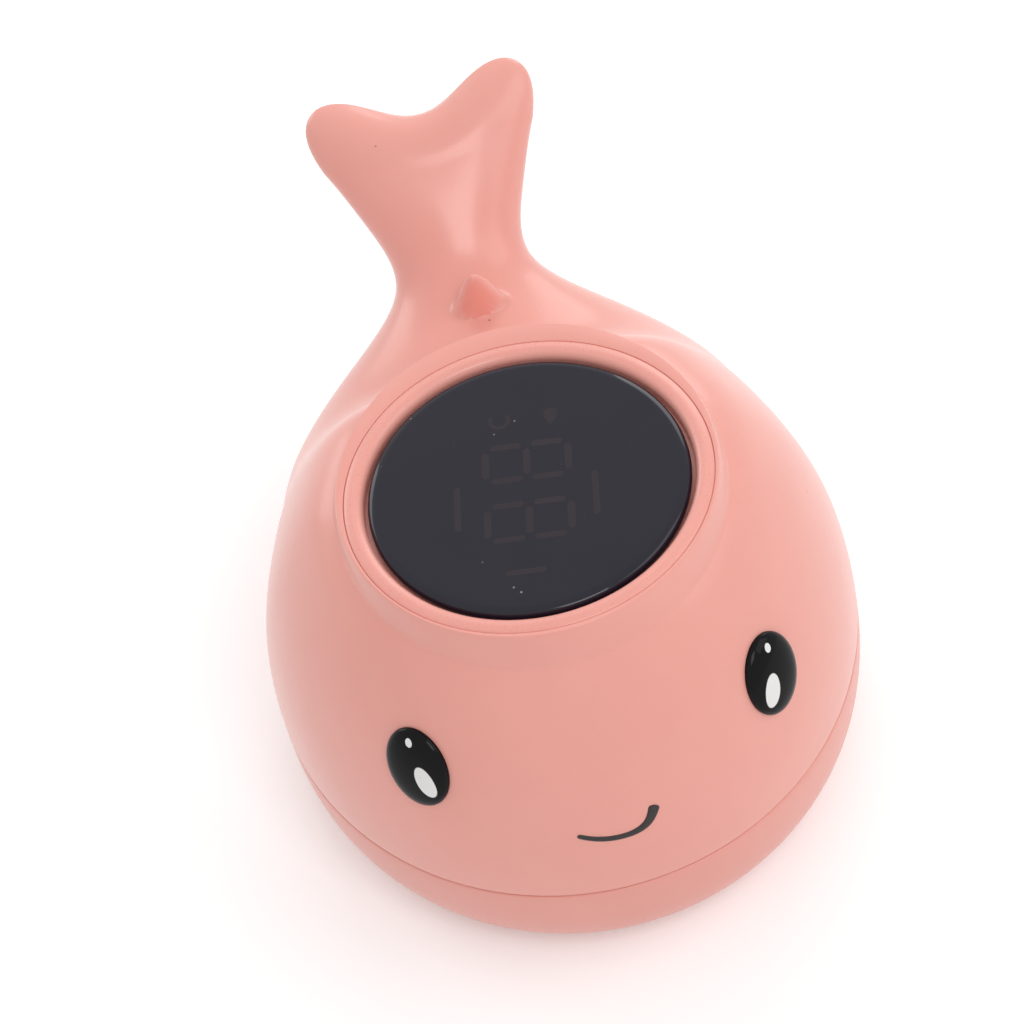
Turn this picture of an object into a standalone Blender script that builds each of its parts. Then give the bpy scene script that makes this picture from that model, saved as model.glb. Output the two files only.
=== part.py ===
"""Baby bath thermometer shaped like a small whale, in metres, standing on its flat base with +Z up.

The face looks toward -Y and the tail rises toward +Y. Each named size below is in millimetres.
"""

import bmesh
import bpy
import numpy as np
from mathutils import Matrix

MM = 0.001

# Driving sizes, in millimetres
HALF_WIDTH = 36.0  # half the width of the body at its widest
NOSE_LENGTH = 39.5  # from the widest station forward to the nose
DOME_HEIGHT = 41.4  # height the dome would reach above the parting line
PARTING_Z = 16.4  # height of the line where the two shells meet
DECK_Z = 50.0  # height of the flat deck round the display
DISPLAY_Y = -14.64  # where the display's axis stands along the body
WIDEST_BEHIND = 5.0  # the widest station lies this far behind the display's axis
WIDEST_Y = DISPLAY_Y + WIDEST_BEHIND
FULLNESS = 2.05  # exponent of the rib sections: 2 is an ellipse
WALL = 2.0
GAP = 0.3  # between pieces that rest on each other

# Ribs from the widest station to the start of the flukes. Each row: distance behind the display's
# axis, height of the rib's centre, lean in degrees, half width, height above and below the centre.
RIBS = np.array([
    [WIDEST_BEHIND, PARTING_Z, 0.0, HALF_WIDTH, DOME_HEIGHT, 20.0],
    [15.0, PARTING_Z + 0.6, 2.0, HALF_WIDTH - 1.8, DOME_HEIGHT - 2.0, 19.5],
    [24.0, 19.5, 8.0, HALF_WIDTH - 4.9, DOME_HEIGHT - 7.8, 18.0],
    [32.0, 25.2, 19.0, HALF_WIDTH - 8.6, 19.6, 14.5],
    [39.2, 31.8, 31.0, 18.5, 11.0, 10.0],
    [45.5, 38.1, 40.0, 9.1, 6.1, 6.4],
    [51.1, 43.6, 44.0, 10.1, 5.2, 5.2],
    [56.0, 48.3, 44.0, 13.6, 4.5, 4.5],
])
FLUKE_BULGE = 15.1  # half width the flukes swell toward
FLUKE_TIP = 11.2  # half width where their edge closes
FLUKE_LENGTH = 6.6
NOTCH_START = 2.5  # how far the outer edges lead the middle at the last rib
NOTCH_DEPTH = 4.1  # and at the closed edge

BASE_SHARE = 0.66  # size of the flat base against the parting outline
BOWL_POWER = 2.7  # how squarely the bowl turns under

# The display, from the window outward and from the deck down
WINDOW_R = 18.75
BEZEL_IN = WINDOW_R + 0.47
SKIRT_OUT = BEZEL_IN + 0.08
SKIRT_WALL = 1.5
HOLE_R = SKIRT_OUT + GAP
BEZEL_LIP = 1.96  # how far the bezel reaches past its skirt
BEZEL_OUT = SKIRT_OUT + BEZEL_LIP
SEAT_R = BEZEL_OUT + 0.24
STACK_R = SKIRT_OUT - SKIRT_WALL - GAP  # mask, segment guide and display board
COLLAR_WALL = 0.5  # collar left round the bezel's seat at the sides
COLLAR_X = SEAT_R + COLLAR_WALL
COLLAR_Y = COLLAR_X + 1.1
COLLAR_SHIFT = 1.2

BOARD_THICK = 1.2
SEAT_Z = DECK_Z - 2.6
CEILING_Z = DECK_Z - 4.5  # underside of the deck
LEDGE_Z = DECK_Z - 3.0  # underside of the ledge that carries the window
LEDGE_THICK = 1.0
MASK_Z = LEDGE_Z - GAP - BOARD_THICK
GUIDE_THICK = 1.0
GUIDE_Z = MASK_Z - 0.7 - GUIDE_THICK
PANEL_Z = GUIDE_Z - 0.4 - BOARD_THICK  # underside of the display board
SKIRT_Z = PANEL_Z - 1.2
BOARD_GAP = 4.4  # between the main board and the display board
BOARD_Z = PANEL_Z - BOARD_GAP - BOARD_THICK

BOARD_TOP = BOARD_Z + BOARD_THICK
SCREW_TOP = CEILING_Z - 2.4  # tips of the board screws
POST_RADIUS = 2.0
POST_TOP = CEILING_Z + 0.2  # inside the wall, short of the outer skin
POST_R = SKIRT_OUT + 2.1  # keeps the heads of the board screws clear of the skirt
BOARD_R = POST_R + 2.6

COVER_Y = DISPLAY_Y + 6.0
CELL_R, CELL_H, CELL_Z = 10.0, 3.2, 4.4
BAY_R, BAY_Z = CELL_R + 1.0, 9.4
TUB_R = BAY_R + 1.5
RECESS_R, RECESS_Z = TUB_R + 3.3, 2.4
SCREW_R = RECESS_R - 2.2  # keeps the screw heads inside the cover
PROBE_Y = COVER_Y - RECESS_R - 7.2
PIN_X, PIN_Y = 8.0, PROBE_Y + 2.0
FLOOR = 2.2


# Helpers
for old in list(bpy.data.objects):
    bpy.data.objects.remove(old, do_unlink=True)
WHALE = bpy.data.collections.new("baby_bath_thermometer")
CUTTERS = bpy.data.collections.new("cutters")
bpy.context.scene.collection.children.link(WHALE)
bpy.context.scene.collection.children.link(CUTTERS)


def material(name, colour, rough=0.4, metal=0.0, clear=0.0):
    """A named Principled material."""
    mat = bpy.data.materials.new(name)
    mat.use_nodes = True
    shader = mat.node_tree.nodes["Principled BSDF"]
    shader.inputs["Base Color"].default_value = (*colour, 1)
    shader.inputs["Roughness"].default_value = rough
    shader.inputs["Metallic"].default_value = metal
    shader.inputs["Transmission Weight"].default_value = clear
    mat.diffuse_color = (*colour, 1)
    return mat


PINK = material("pink_shell", (0.80, 0.37, 0.31), 0.35)
PINK_LOW = material("pink_base", (0.80, 0.37, 0.31), 0.4)
PINK_RIM = material("pink_bezel", (0.82, 0.39, 0.33), 0.3)
SMOKED = material("smoked_window", (0.02, 0.02, 0.025), 0.1)
MASK = material("black_mask", (0.015, 0.015, 0.015), 0.6)
MILKY = material("milky_guide", (0.75, 0.75, 0.72), 0.4)
BOARD = material("green_board", (0.03, 0.16, 0.07), 0.5)
CHIP = material("chip_black", (0.02, 0.02, 0.02), 0.5)
STEEL = material("probe_steel", (0.6, 0.6, 0.6), 0.25, 1)
ZINC = material("screw_zinc", (0.55, 0.55, 0.56), 0.35, 1)
SPRING = material("contact_nickel", (0.62, 0.6, 0.56), 0.3, 1)
CELL = material("cell_steel", (0.65, 0.65, 0.65), 0.25, 1)
SEAL = material("seal_rubber", (0.1, 0.1, 0.1), 0.7)
EYE = material("eye_black", (0.01, 0.01, 0.012), 0.08)
INK = material("smile_black", (0.01, 0.01, 0.01), 0.4)
RED = material("lead_red", (0.5, 0.02, 0.02), 0.5)
BLACK = material("lead_black", (0.02, 0.02, 0.02), 0.5)
WHITE = material("lead_white", (0.7, 0.7, 0.7), 0.5)


def into(collection, obj, mat=None):
    """Puts the object in its collection with its material."""
    collection.objects.link(obj)
    if mat:
        obj.data.materials.append(mat)
    if collection is CUTTERS:
        obj.hide_render = True
        obj.display_type = "WIRE"
    return obj


def finished(name, bm, mat=None, collection=WHALE):
    """A bmesh in millimetres made into an object in metres, with its faces turned outward."""
    bmesh.ops.recalc_face_normals(bm, faces=bm.faces)
    bmesh.ops.scale(bm, vec=(MM, MM, MM), verts=bm.verts)
    mesh = bpy.data.meshes.new(name)
    bm.to_mesh(mesh)
    bm.free()
    return into(collection, bpy.data.objects.new(name, mesh), mat)


def loft(name, rings, mat=None, collection=WHALE, start_point=None):
    """Skin over rings of equal point count, closed at both ends."""
    bm = bmesh.new()
    rows = [[bm.verts.new(p) for p in ring] for ring in rings]
    count = len(rows[0])
    for a, b in zip(rows, rows[1:]):
        for j in range(count):
            bm.faces.new((a[j], a[(j + 1) % count], b[(j + 1) % count], b[j]))
    if start_point is None:
        bm.faces.new(rows[0][::-1])
    else:
        tip = bm.verts.new(start_point)
        for j in range(count):
            bm.faces.new((rows[0][(j + 1) % count], rows[0][j], tip))
    bm.faces.new(rows[-1])
    return finished(name, bm, mat, collection)


def baked(obj):
    """The object with its modifiers turned into plain mesh."""
    graph = bpy.context.evaluated_depsgraph_get()
    mesh = bpy.data.meshes.new_from_object(obj.evaluated_get(graph))
    obj.modifiers.clear()
    obj.data = mesh
    return obj


def turned(name, profile, x=0.0, y=0.0, mat=None, collection=WHALE, steps=40, stretch=1.0):
    """A profile of (radius, height) pairs carried round a vertical axis at (x, y)."""
    mesh = bpy.data.meshes.new(name)
    closed = min(r for r, _ in profile) > 0
    count = len(profile)
    pairs = [(i, (i + 1) % count) for i in range(count if closed else count - 1)]
    mesh.from_pydata([(r * MM, 0, z * MM) for r, z in profile], pairs, [])
    obj = into(collection, bpy.data.objects.new(name, mesh))
    screw = obj.modifiers.new("turn", "SCREW")
    screw.angle = 2 * np.pi
    screw.steps = screw.render_steps = steps
    screw.use_merge_vertices = True
    screw.merge_threshold = 0.00001
    baked(obj)
    bm = bmesh.new()
    bm.from_mesh(obj.data)
    placed = Matrix.Translation((x * MM, y * MM, 0)) @ Matrix.Diagonal((1, stretch, 1, 1))
    bmesh.ops.transform(bm, matrix=placed, verts=bm.verts)
    bmesh.ops.recalc_face_normals(bm, faces=bm.faces)
    bm.to_mesh(obj.data)
    bm.free()
    for poly in obj.data.polygons:
        poly.use_smooth = False
    if mat:
        obj.data.materials.append(mat)
    return obj


def disc(name, radius, low, high, x=0.0, y=0.0, mat=None, collection=WHALE, steps=40, edge=0.0):
    """A round plate or rod, with an optional chamfer on both rims."""
    rim = [(radius, low), (radius, high)]
    if edge:
        rim = [(radius - edge, low), (radius, low + edge), (radius, high - edge), (radius - edge, high)]
    return turned(name, [(0, low), *rim, (0, high)], x, y, mat, collection, steps)


def block(name, size, centre, mat=None, collection=WHALE):
    """A box."""
    bm = bmesh.new()
    bmesh.ops.create_cube(bm, size=1)
    bmesh.ops.scale(bm, vec=size, verts=bm.verts)
    bmesh.ops.translate(bm, vec=centre, verts=bm.verts)
    return finished(name, bm, mat, collection)


def prism(name, outline, direction, mat=None, collection=WHALE):
    """A flat outline of 3-D points pushed along a direction."""
    bm = bmesh.new()
    face = bm.faces.new([bm.verts.new(p) for p in outline])
    pushed = bmesh.ops.extrude_face_region(bm, geom=[face])
    moved = [v for v in pushed["geom"] if isinstance(v, bmesh.types.BMVert)]
    bmesh.ops.translate(bm, vec=direction, verts=moved)
    return finished(name, bm, mat, collection)


def triangulated(obj):
    """The object with every face split into triangles, so that the next cut meets flat faces only."""
    bm = bmesh.new()
    bm.from_mesh(obj.data)
    bmesh.ops.triangulate(bm, faces=bm.faces)
    bmesh.ops.remove_doubles(bm, verts=bm.verts, dist=0.000002)
    bmesh.ops.dissolve_degenerate(bm, dist=0.000002, edges=bm.edges)
    bm.to_mesh(obj.data)
    bm.free()
    return obj


def boolean(obj, operation, *others):
    """Joins or cuts with each of the other objects, in order."""
    triangulated(obj)
    for other in others:
        step = obj.modifiers.new(other.name, "BOOLEAN")
        step.operation = operation
        step.solver = "EXACT"
        step.object = triangulated(other)
        triangulated(baked(obj))
    return obj


def cord(name, points, radius, mat):
    """A round lead drawn through the given points."""
    curve = bpy.data.curves.new(name, "CURVE")
    curve.dimensions = "3D"
    curve.resolution_u = 4
    curve.bevel_depth = radius * MM
    curve.bevel_resolution = 1
    curve.use_fill_caps = True
    line = curve.splines.new("BEZIER")
    line.bezier_points.add(len(points) - 1)
    for knot, point in zip(line.bezier_points, points):
        knot.co = [c * MM for c in point]
        knot.handle_left_type = knot.handle_right_type = "AUTO"
    return into(WHALE, bpy.data.objects.new(name, curve), mat)


# Outer skin
def spline(knots, values, at):
    """Natural cubic through the knots, read at the given places."""
    count, step = len(knots), np.diff(knots)
    matrix, right = np.eye(count), np.zeros(count)
    for i in range(1, count - 1):
        matrix[i, i - 1:i + 2] = step[i - 1], 2 * (step[i - 1] + step[i]), step[i]
        right[i] = 3 * ((values[i + 1] - values[i]) / step[i] - (values[i] - values[i - 1]) / step[i - 1])
    bend = np.linalg.solve(matrix, right)
    k = np.clip(np.searchsorted(knots, at) - 1, 0, count - 2)
    cube = (bend[k + 1] - bend[k]) / (3 * step[k])
    slope = (values[k + 1] - values[k]) / step[k] - step[k] * (2 * bend[k] + bend[k + 1]) / 3
    t = at - knots[k]
    return values[k] + slope * t + bend[k] * t * t + cube * t ** 3


def rib_values(at):
    """The six rib sizes at places along the body, level at the widest rib."""
    places = np.arange(len(RIBS), dtype=float)
    mirror = np.concatenate([-places[2:0:-1], places])
    values = [spline(places, RIBS[:, 0], at)]
    values += [spline(mirror, np.concatenate([RIBS[2:0:-1, i], RIBS[:, i]]), at) for i in range(1, 6)]
    return np.array(values)


def rib(around, behind, height, lean, half, up, down, lead=0.0):
    """One closed rib: a full ellipse across the body, leaning back and with its sides led backward."""
    across = np.sign(np.cos(around)) * np.abs(np.cos(around)) ** (2 / FULLNESS)
    rise = np.sign(np.sin(around)) * np.abs(np.sin(around)) ** (2 / FULLNESS)
    tall = np.where(rise > 0, up, down) * rise
    ahead = lead * (1 - np.cos(np.pi * np.abs(across))) / 2
    lean = np.radians(lean)
    y = DISPLAY_Y + behind - tall * np.sin(lean) + ahead * np.cos(lean)
    z = height + tall * np.cos(lean) + ahead * np.sin(lean)
    return np.stack([half * across, y, z], -1)


def body_ribs(count, front, back, edge, shrink=0.0, last=7.0):
    """Ribs from the nose to the place called last, then the closing edge of the flukes."""
    around = np.linspace(0, 2 * np.pi, count, endpoint=False)
    rows = []
    for turn in np.linspace(0, np.pi / 2, front + 1)[1:-1]:
        part = np.sin(turn)
        rows.append(rib(around, WIDEST_BEHIND - (NOSE_LENGTH - shrink) * np.cos(turn), PARTING_Z, 0,
                        (HALF_WIDTH - shrink) * part, (DOME_HEIGHT - shrink) * part,
                        (RIBS[0, 5] - shrink) * part))
    places = np.linspace(0, last, back)
    for place, (behind, height, lean, half, up, down) in zip(places, rib_values(places).T):
        ease = np.clip((place - 5) / 2, 0, 1)
        rows.append(rib(around, behind, height, lean, half - shrink, up - shrink, down - shrink,
                        NOTCH_START * ease * ease * (3 - 2 * ease)))
    if edge:
        behind, height, lean, half, up, down = RIBS[-1]
        for turn in np.linspace(0, np.pi / 2, edge + 1)[1:]:
            run = FLUKE_LENGTH * np.sin(turn)
            wide = FLUKE_TIP + (half - FLUKE_TIP) * np.cos(turn) + (FLUKE_BULGE - half) * np.sin(2 * turn)
            thick = max(np.cos(turn), 0.02)
            lead = NOTCH_START + (NOTCH_DEPTH - NOTCH_START) * np.sin(turn)
            back_step, rise_step = run * np.cos(np.radians(lean)), run * np.sin(np.radians(lean))
            rows.append(rib(around, behind + back_step, height + rise_step, lean, wide,
                            up * thick, down * thick, lead))
    return rows


def skin(name, count, front, back, edge, shrink=0.0, last=7.0, ceiling=None, collection=CUTTERS):
    rows = np.array(body_ribs(count, front, back, edge, shrink, last))
    if ceiling:
        rows[..., 2] = np.minimum(rows[..., 2], ceiling)
    nose = (0, WIDEST_Y - NOSE_LENGTH + shrink, PARTING_Z)
    return loft(name, rows, None, collection, nose)


def parting_outline(front=10, back=11):
    """Points where the outer skin crosses the parting height, from the nose round one side to the stern."""
    quarter = np.linspace(0, np.pi / 2, front + 1)
    points = [(HALF_WIDTH * np.sin(t), WIDEST_BEHIND - NOSE_LENGTH * np.cos(t)) for t in quarter]
    places = np.linspace(0, 4.5, 400)
    values = rib_values(places)
    behind, height, lean, half, _, down = values
    lean = np.radians(lean)
    rise = (height - PARTING_Z) / (down * np.cos(lean))
    stern = int(np.argmax(rise >= 1))
    share = np.clip(rise[:stern], 0, 1)
    across = (1 - share ** FULLNESS) ** (1 / FULLNESS) * half[:stern]
    along = behind[:stern] + down[:stern] * share * np.sin(lean[:stern])
    end = np.interp(1, rise[stern - 1:stern + 1], (behind + down * np.sin(lean))[stern - 1:stern + 1])
    across, along = np.append(across, 0), np.append(along, end)
    run = np.concatenate([[0], np.cumsum(np.hypot(np.diff(across), np.diff(along)))])
    even = np.linspace(0, run[-1], back + 1)[1:]
    points += list(zip(np.interp(even, run, across), np.interp(even, run, along)))
    right = np.array(points)
    right[:, 1] += DISPLAY_Y
    left = right[-2:0:-1] * (-1, 1)
    return np.concatenate([right, left])


OUTLINE = parting_outline()
NOSE_EASE = 3.5  # shortens the length that insets are measured against
STERN_Y = OUTLINE[:, 1].max()


def outline_ring(share, height, inset=0.0):
    """The parting outline scaled about the widest station, drawn in by an inset and set at a height.

    At the nose and stern, where the shell above leans, a ring is drawn in a little further."""
    ring = np.empty((len(OUTLINE), 3))
    ring[:, 0] = OUTLINE[:, 0] * (share - inset / HALF_WIDTH)
    ring[:, 1] = WIDEST_Y + (OUTLINE[:, 1] - WIDEST_Y) * (share - inset / (NOSE_LENGTH - NOSE_EASE))
    ring[:, 2] = height
    return ring


def bowl_share(height):
    depth = 1 - height / PARTING_Z
    return BASE_SHARE + (1 - BASE_SHARE) * max(0.0, 1 - depth ** BOWL_POWER) ** (1 / BOWL_POWER)


# Upper shell
def upper_shell():
    shell = skin("upper_shell", 36, 9, 24, 5, collection=WHALE)
    shell.data.materials.append(PINK)
    trim = block("trim_dome", (90, 64, 20), (0, DISPLAY_Y - 6.5, DECK_Z + 10), collection=CUTTERS)
    wall = [(0, -7.0), (COLLAR_X + 1.4, -7.0), (COLLAR_X + 0.8, -4.0), (COLLAR_X + 0.2, -1.1),
            (COLLAR_X - 0.1, -0.3), (COLLAR_X - 0.8, 0.4), (0, 0.4)]
    collar = turned("collar", [(r, DECK_Z + z) for r, z in wall], 0, DISPLAY_Y + COLLAR_SHIFT,
                    collection=CUTTERS, steps=48, stretch=COLLAR_Y / COLLAR_X)
    low = block("below_parting", (120, 160, 40), (0, 0, PARTING_Z + 0.15 - 20), collection=CUTTERS)
    cavity = skin("cavity", 24, 6, 12, 0, shrink=WALL, last=4.7, ceiling=CEILING_Z)
    boolean(shell, "UNION", collar)
    boolean(shell, "DIFFERENCE", trim)
    nub = turned("nub", [(0, 36), (3.1, 36), (2.9, 41.2), (2.4, 42.6), (1.9, 44.0), (1.2, 45.1), (0, 45.6)],
                 0, DISPLAY_Y + 36.6, collection=CUTTERS, steps=16)
    boolean(shell, "UNION", nub)
    boolean(shell, "DIFFERENCE", cavity, low)
    posts = []
    for i, turn in enumerate(np.radians([90, 210, 330])):
        posts.append(disc(f"post_{i}", POST_RADIUS, BOARD_TOP + GAP, POST_TOP, POST_R * np.cos(turn),
                          DISPLAY_Y + POST_R * np.sin(turn), collection=CUTTERS, steps=16))
    boolean(shell, "UNION", *posts)
    holes = [
        disc("display_hole", HOLE_R, 40, DECK_Z + 10, 0, DISPLAY_Y, collection=CUTTERS, steps=48),
        disc("bezel_seat", SEAT_R, SEAT_Z, DECK_Z + 10, 0, DISPLAY_Y, collection=CUTTERS, steps=48),
    ]
    for i, turn in enumerate(np.radians([90, 210, 330])):
        holes.append(disc(f"post_hole_{i}", 1.15, 30, SCREW_TOP + 0.5, POST_R * np.cos(turn),
                          DISPLAY_Y + POST_R * np.sin(turn), collection=CUTTERS, steps=12))
    boolean(shell, "DIFFERENCE", *holes)
    return shell


upper = upper_shell()


# Lower shell
def lower_shell():
    rim = PARTING_Z - 0.15
    rings = [outline_ring(bowl_share(z), z) for z in (0, 0.12, 0.6, 1.6, 3.4, 6.0, 9.5, 13.0)]
    rings.append(outline_ring(1, rim))
    inset = [(3.6, rim), (3.6, PARTING_Z + 2), (4.9, PARTING_Z + 2), (4.9, 13.0)]
    rings += [outline_ring(1, z, d) for d, z in inset]
    rings += [outline_ring(bowl_share(z), z, 2.1) for z in (11.5, 7.5, 4.2, FLOOR)]
    shell = loft("lower_shell", rings, PINK_LOW)
    cut = {"collection": CUTTERS}
    adds = [
        disc("floor_pad", RECESS_R + 1.6, 1, 4.2, 0, COVER_Y, **cut),
        disc("tub", TUB_R, 1, BAY_Z + 1.4, 0, COVER_Y, **cut),
        disc("boss_left", 2.3, 1, 9.2, -SCREW_R, COVER_Y, steps=20, **cut),
        disc("boss_right", 2.3, 1, 9.2, SCREW_R, COVER_Y, steps=20, **cut),
        disc("probe_socket", 3.3, 1, 4.2, 0, PROBE_Y, steps=24, **cut),
        disc("pin_socket_left", 2.1, 1, 4.2, -PIN_X, PIN_Y, steps=16, **cut),
        disc("pin_socket_right", 2.1, 1, 4.2, PIN_X, PIN_Y, steps=16, **cut),
    ]
    boolean(shell, "UNION", *adds)
    cuts = [
        disc("cover_recess", RECESS_R, -2, RECESS_Z, 0, COVER_Y, steps=48, **cut),
        disc("cell_bay", BAY_R, -2, BAY_Z, 0, COVER_Y, **cut),
        disc("probe_hole", 2.0, -2, 8, 0, PROBE_Y, steps=20, **cut),
        disc("probe_recess", 3.0, -2, 1.3, 0, PROBE_Y, steps=20, **cut),
    ]
    for side, word in ((-1, "left"), (1, "right")):
        cuts += [
            disc(f"screw_hole_{word}", 1.15, -2, 8.4, side * SCREW_R, COVER_Y, steps=12, **cut),
            disc(f"pin_hole_{word}", 1.1, -2, 8, side * PIN_X, PIN_Y, steps=12, **cut),
            disc(f"pin_recess_{word}", 1.9, -2, 1.3, side * PIN_X, PIN_Y, steps=12, **cut),
            disc(f"lead_hole_{word}", 0.9, 8, 12, side * 6.0, COVER_Y + 6.0, steps=10, **cut),
        ]
    return boolean(shell, "DIFFERENCE", *cuts)


lower = lower_shell()

seal_z = PARTING_Z
seal_rings = [outline_ring(1, z, d) for d, z in
              ((2.75, seal_z + 0.1), (2.75, seal_z + 0.7), (3.3, seal_z + 0.7), (3.3, seal_z + 0.1))]


def band(name, rings, mat):
    """A closed loop of four-sided section, swept round an outline."""
    bm = bmesh.new()
    rows = [[bm.verts.new(p) for p in ring] for ring in rings]
    count = len(rows[0])
    for a, b in zip(rows, rows[1:] + rows[:1]):
        for j in range(count):
            bm.faces.new((a[j], a[(j + 1) % count], b[(j + 1) % count], b[j]))
    return finished(name, bm, mat)


band("joint_seal", seal_rings, SEAL)

# Display
BEZEL_PROFILE = [
    (BEZEL_IN, DECK_Z - 0.25), (BEZEL_IN + 0.35, DECK_Z + 0.1), (BEZEL_OUT - 0.45, DECK_Z + 0.1),
    (BEZEL_OUT, DECK_Z - 0.3), (BEZEL_OUT, SEAT_Z + GAP), (SKIRT_OUT, SEAT_Z + GAP), (SKIRT_OUT, SKIRT_Z),
    (STACK_R + GAP, SKIRT_Z), (STACK_R + GAP, LEDGE_Z), (STACK_R - 0.5, LEDGE_Z),
    (STACK_R - 0.5, LEDGE_Z + LEDGE_THICK), (BEZEL_IN, LEDGE_Z + LEDGE_THICK),
]
turned("display_bezel", BEZEL_PROFILE, 0, DISPLAY_Y, PINK_RIM, steps=48)
disc("display_window", WINDOW_R, LEDGE_Z + LEDGE_THICK + GAP, DECK_Z - 0.15, 0, DISPLAY_Y, SMOKED, steps=48,
     edge=0.25)

# The figures lie along the body: their top points toward -X and they read toward +Y.
DIGIT_TALL, DIGIT_WIDE, STROKE = 10.6, 5.4, 1.1


def bar(u0, v0, u1, v1, low, high, name):
    """A segment between two places: u runs along the reading direction and v up the figures."""
    half = STROKE / 2
    size = (v1 - v0 + 2 * half, u1 - u0 + 2 * half, high - low)
    centre = (-(v0 + v1) / 2, DISPLAY_Y + (u0 + u1) / 2, (low + high) / 2)
    return block(name, size, centre, collection=CUTTERS)


def figure_bars(low, high, tag):
    """The bars of the two eights, the degree mark's C, the drop and the three level bars."""
    made = []
    tall, wide = DIGIT_TALL / 2, DIGIT_WIDE / 2
    gap = STROKE + 0.35
    for d, middle in enumerate((-5.2, 3.2)):
        level = [(-wide + gap, v, wide - gap, v) for v in (tall, 0, -tall)]
        upright = [(u, v, u, v + tall - 2 * gap) for u in (-wide, wide) for v in (gap, gap - tall)]
        for k, (u0, v0, u1, v1) in enumerate(level + upright):
            made.append(bar(middle + u0, v0, middle + u1, v1, low, high, f"{tag}_{d}{k}"))
    marks = [(9.4, 5.1, 11.0, 5.1), (9.4, 2.7, 11.0, 2.7), (9.3, 3.9, 9.3, 3.9), (10.2, -4.2, 10.2, -3.4)]
    marks += [(-2.6, 10.2, 2.6, 10.2), (-2.6, -10.2, 2.6, -10.2), (-12.2, -1.6, -12.2, 1.6)]
    for k, ends in enumerate(marks):
        made.append(bar(*ends, low, high, f"{tag}_mark{k}"))
    return made


mask = disc("display_mask", STACK_R, MASK_Z, MASK_Z + BOARD_THICK, 0, DISPLAY_Y, MASK, steps=40)
boolean(mask, "DIFFERENCE", *figure_bars(MASK_Z - 1.5, LEDGE_Z + 1, "opening"))
guide = disc("segment_guide", STACK_R, GUIDE_Z, GUIDE_Z + GUIDE_THICK, 0, DISPLAY_Y, MILKY, steps=40)
boolean(guide, "UNION", *figure_bars(GUIDE_Z + GUIDE_THICK / 2, MASK_Z - GAP, "segment"))
disc("display_board", STACK_R, PANEL_Z, PANEL_Z + BOARD_THICK, 0, DISPLAY_Y, BOARD, steps=40)
header_low, header_high = BOARD_TOP + GAP, PANEL_Z - GAP
block("board_header", (16, 2.5, header_high - header_low),
      (0, DISPLAY_Y - 9, (header_low + header_high) / 2), CHIP)

# Main board
board = disc("main_board", BOARD_R, BOARD_Z, BOARD_TOP, 0, DISPLAY_Y, BOARD, steps=48)
board_holes = []
BOARD_SCREW_PROFILE = [
    (0, BOARD_Z - 1.6), (1.4, BOARD_Z - 1.6), (1.9, BOARD_Z - 1.1), (1.9, BOARD_Z - GAP),
    (0.9, BOARD_Z - GAP), (0.9, SCREW_TOP - 0.7), (0.4, SCREW_TOP), (0, SCREW_TOP),
]
for i, turn in enumerate(np.radians([90, 210, 330])):
    x, y = POST_R * np.cos(turn), DISPLAY_Y + POST_R * np.sin(turn)
    board_holes.append(disc(f"board_hole_{i}", 1.3, BOARD_Z - 6.6, BOARD_TOP + 2.2, x, y,
                            collection=CUTTERS, steps=12))
    turned(f"board_screw_{i + 1}", BOARD_SCREW_PROFILE, x, y, ZINC, steps=12)
boolean(board, "DIFFERENCE", *board_holes)
block("main_chip", (8, 8, 1.5), (-6, DISPLAY_Y + 5, BOARD_TOP + GAP + 0.75), CHIP)
disc("tilt_switch", 2.2, BOARD_TOP + GAP, BOARD_TOP + 3.8, 8, DISPLAY_Y + 6, STEEL, steps=20, edge=0.3)

# Battery bay
COVER_PROFILE = [
    (0, 0.4), (RECESS_R - 0.8, 0.4), (RECESS_R - 0.4, 0.8), (RECESS_R - 0.4, 1.75),
    (BAY_R - 0.4, 1.75), (BAY_R - 0.4, CELL_Z - 0.7), (0, CELL_Z - 0.7),
]
cover = turned("battery_cover", COVER_PROFILE, 0, COVER_Y, PINK_LOW)
COVER_SCREW_PROFILE = [
    (0, 0.2), (1.1, 0.2), (1.4, 0.45), (1.4, 0.75), (0.9, 1.0), (0.9, 7.2), (0.4, 7.9), (0, 7.9),
]
cover_cuts = []
for side, word in ((-1, "left"), (1, "right")):
    cover_cuts += [
        disc(f"cover_hole_{word}", 1.2, -1, 3, side * SCREW_R, COVER_Y, collection=CUTTERS, steps=12),
        disc(f"cover_sink_{word}", 1.7, -1, 1.05, side * SCREW_R, COVER_Y, collection=CUTTERS, steps=16),
    ]
    turned(f"cover_screw_{word}", COVER_SCREW_PROFILE, side * SCREW_R, COVER_Y, ZINC, steps=12)
boolean(cover, "DIFFERENCE", *cover_cuts)
SEAL_IN, SEAL_OUT = BAY_R + GAP, TUB_R - GAP
turned("cover_seal", [(SEAL_IN, 1.9), (SEAL_OUT, 1.9), (SEAL_OUT, 2.25), (SEAL_IN, 2.25)], 0, COVER_Y, SEAL,
       steps=40)
CELL_TOP = CELL_Z + CELL_H - 0.2
CELL_PROFILE = [
    (0, CELL_Z - 0.3), (9.0, CELL_Z - 0.3), (9.2, CELL_Z), (CELL_R - 0.25, CELL_Z),
    (CELL_R, CELL_Z + 0.3), (CELL_R, CELL_TOP - 0.3), (CELL_R - 0.3, CELL_TOP), (0, CELL_TOP),
]
turned("coin_cell", CELL_PROFILE, 0, COVER_Y, CELL)
arc = np.radians(np.linspace(20, 70, 9))
outer, inner = BAY_R - 0.35, CELL_R + GAP
outline = [(outer * np.cos(a), COVER_Y + outer * np.sin(a), CELL_Z + 0.2) for a in arc]
outline += [(inner * np.cos(a), COVER_Y + inner * np.sin(a), CELL_Z + 0.2) for a in arc[::-1]]
prism("plus_contact", outline, (0, 0, 4.2), SPRING)
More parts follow.
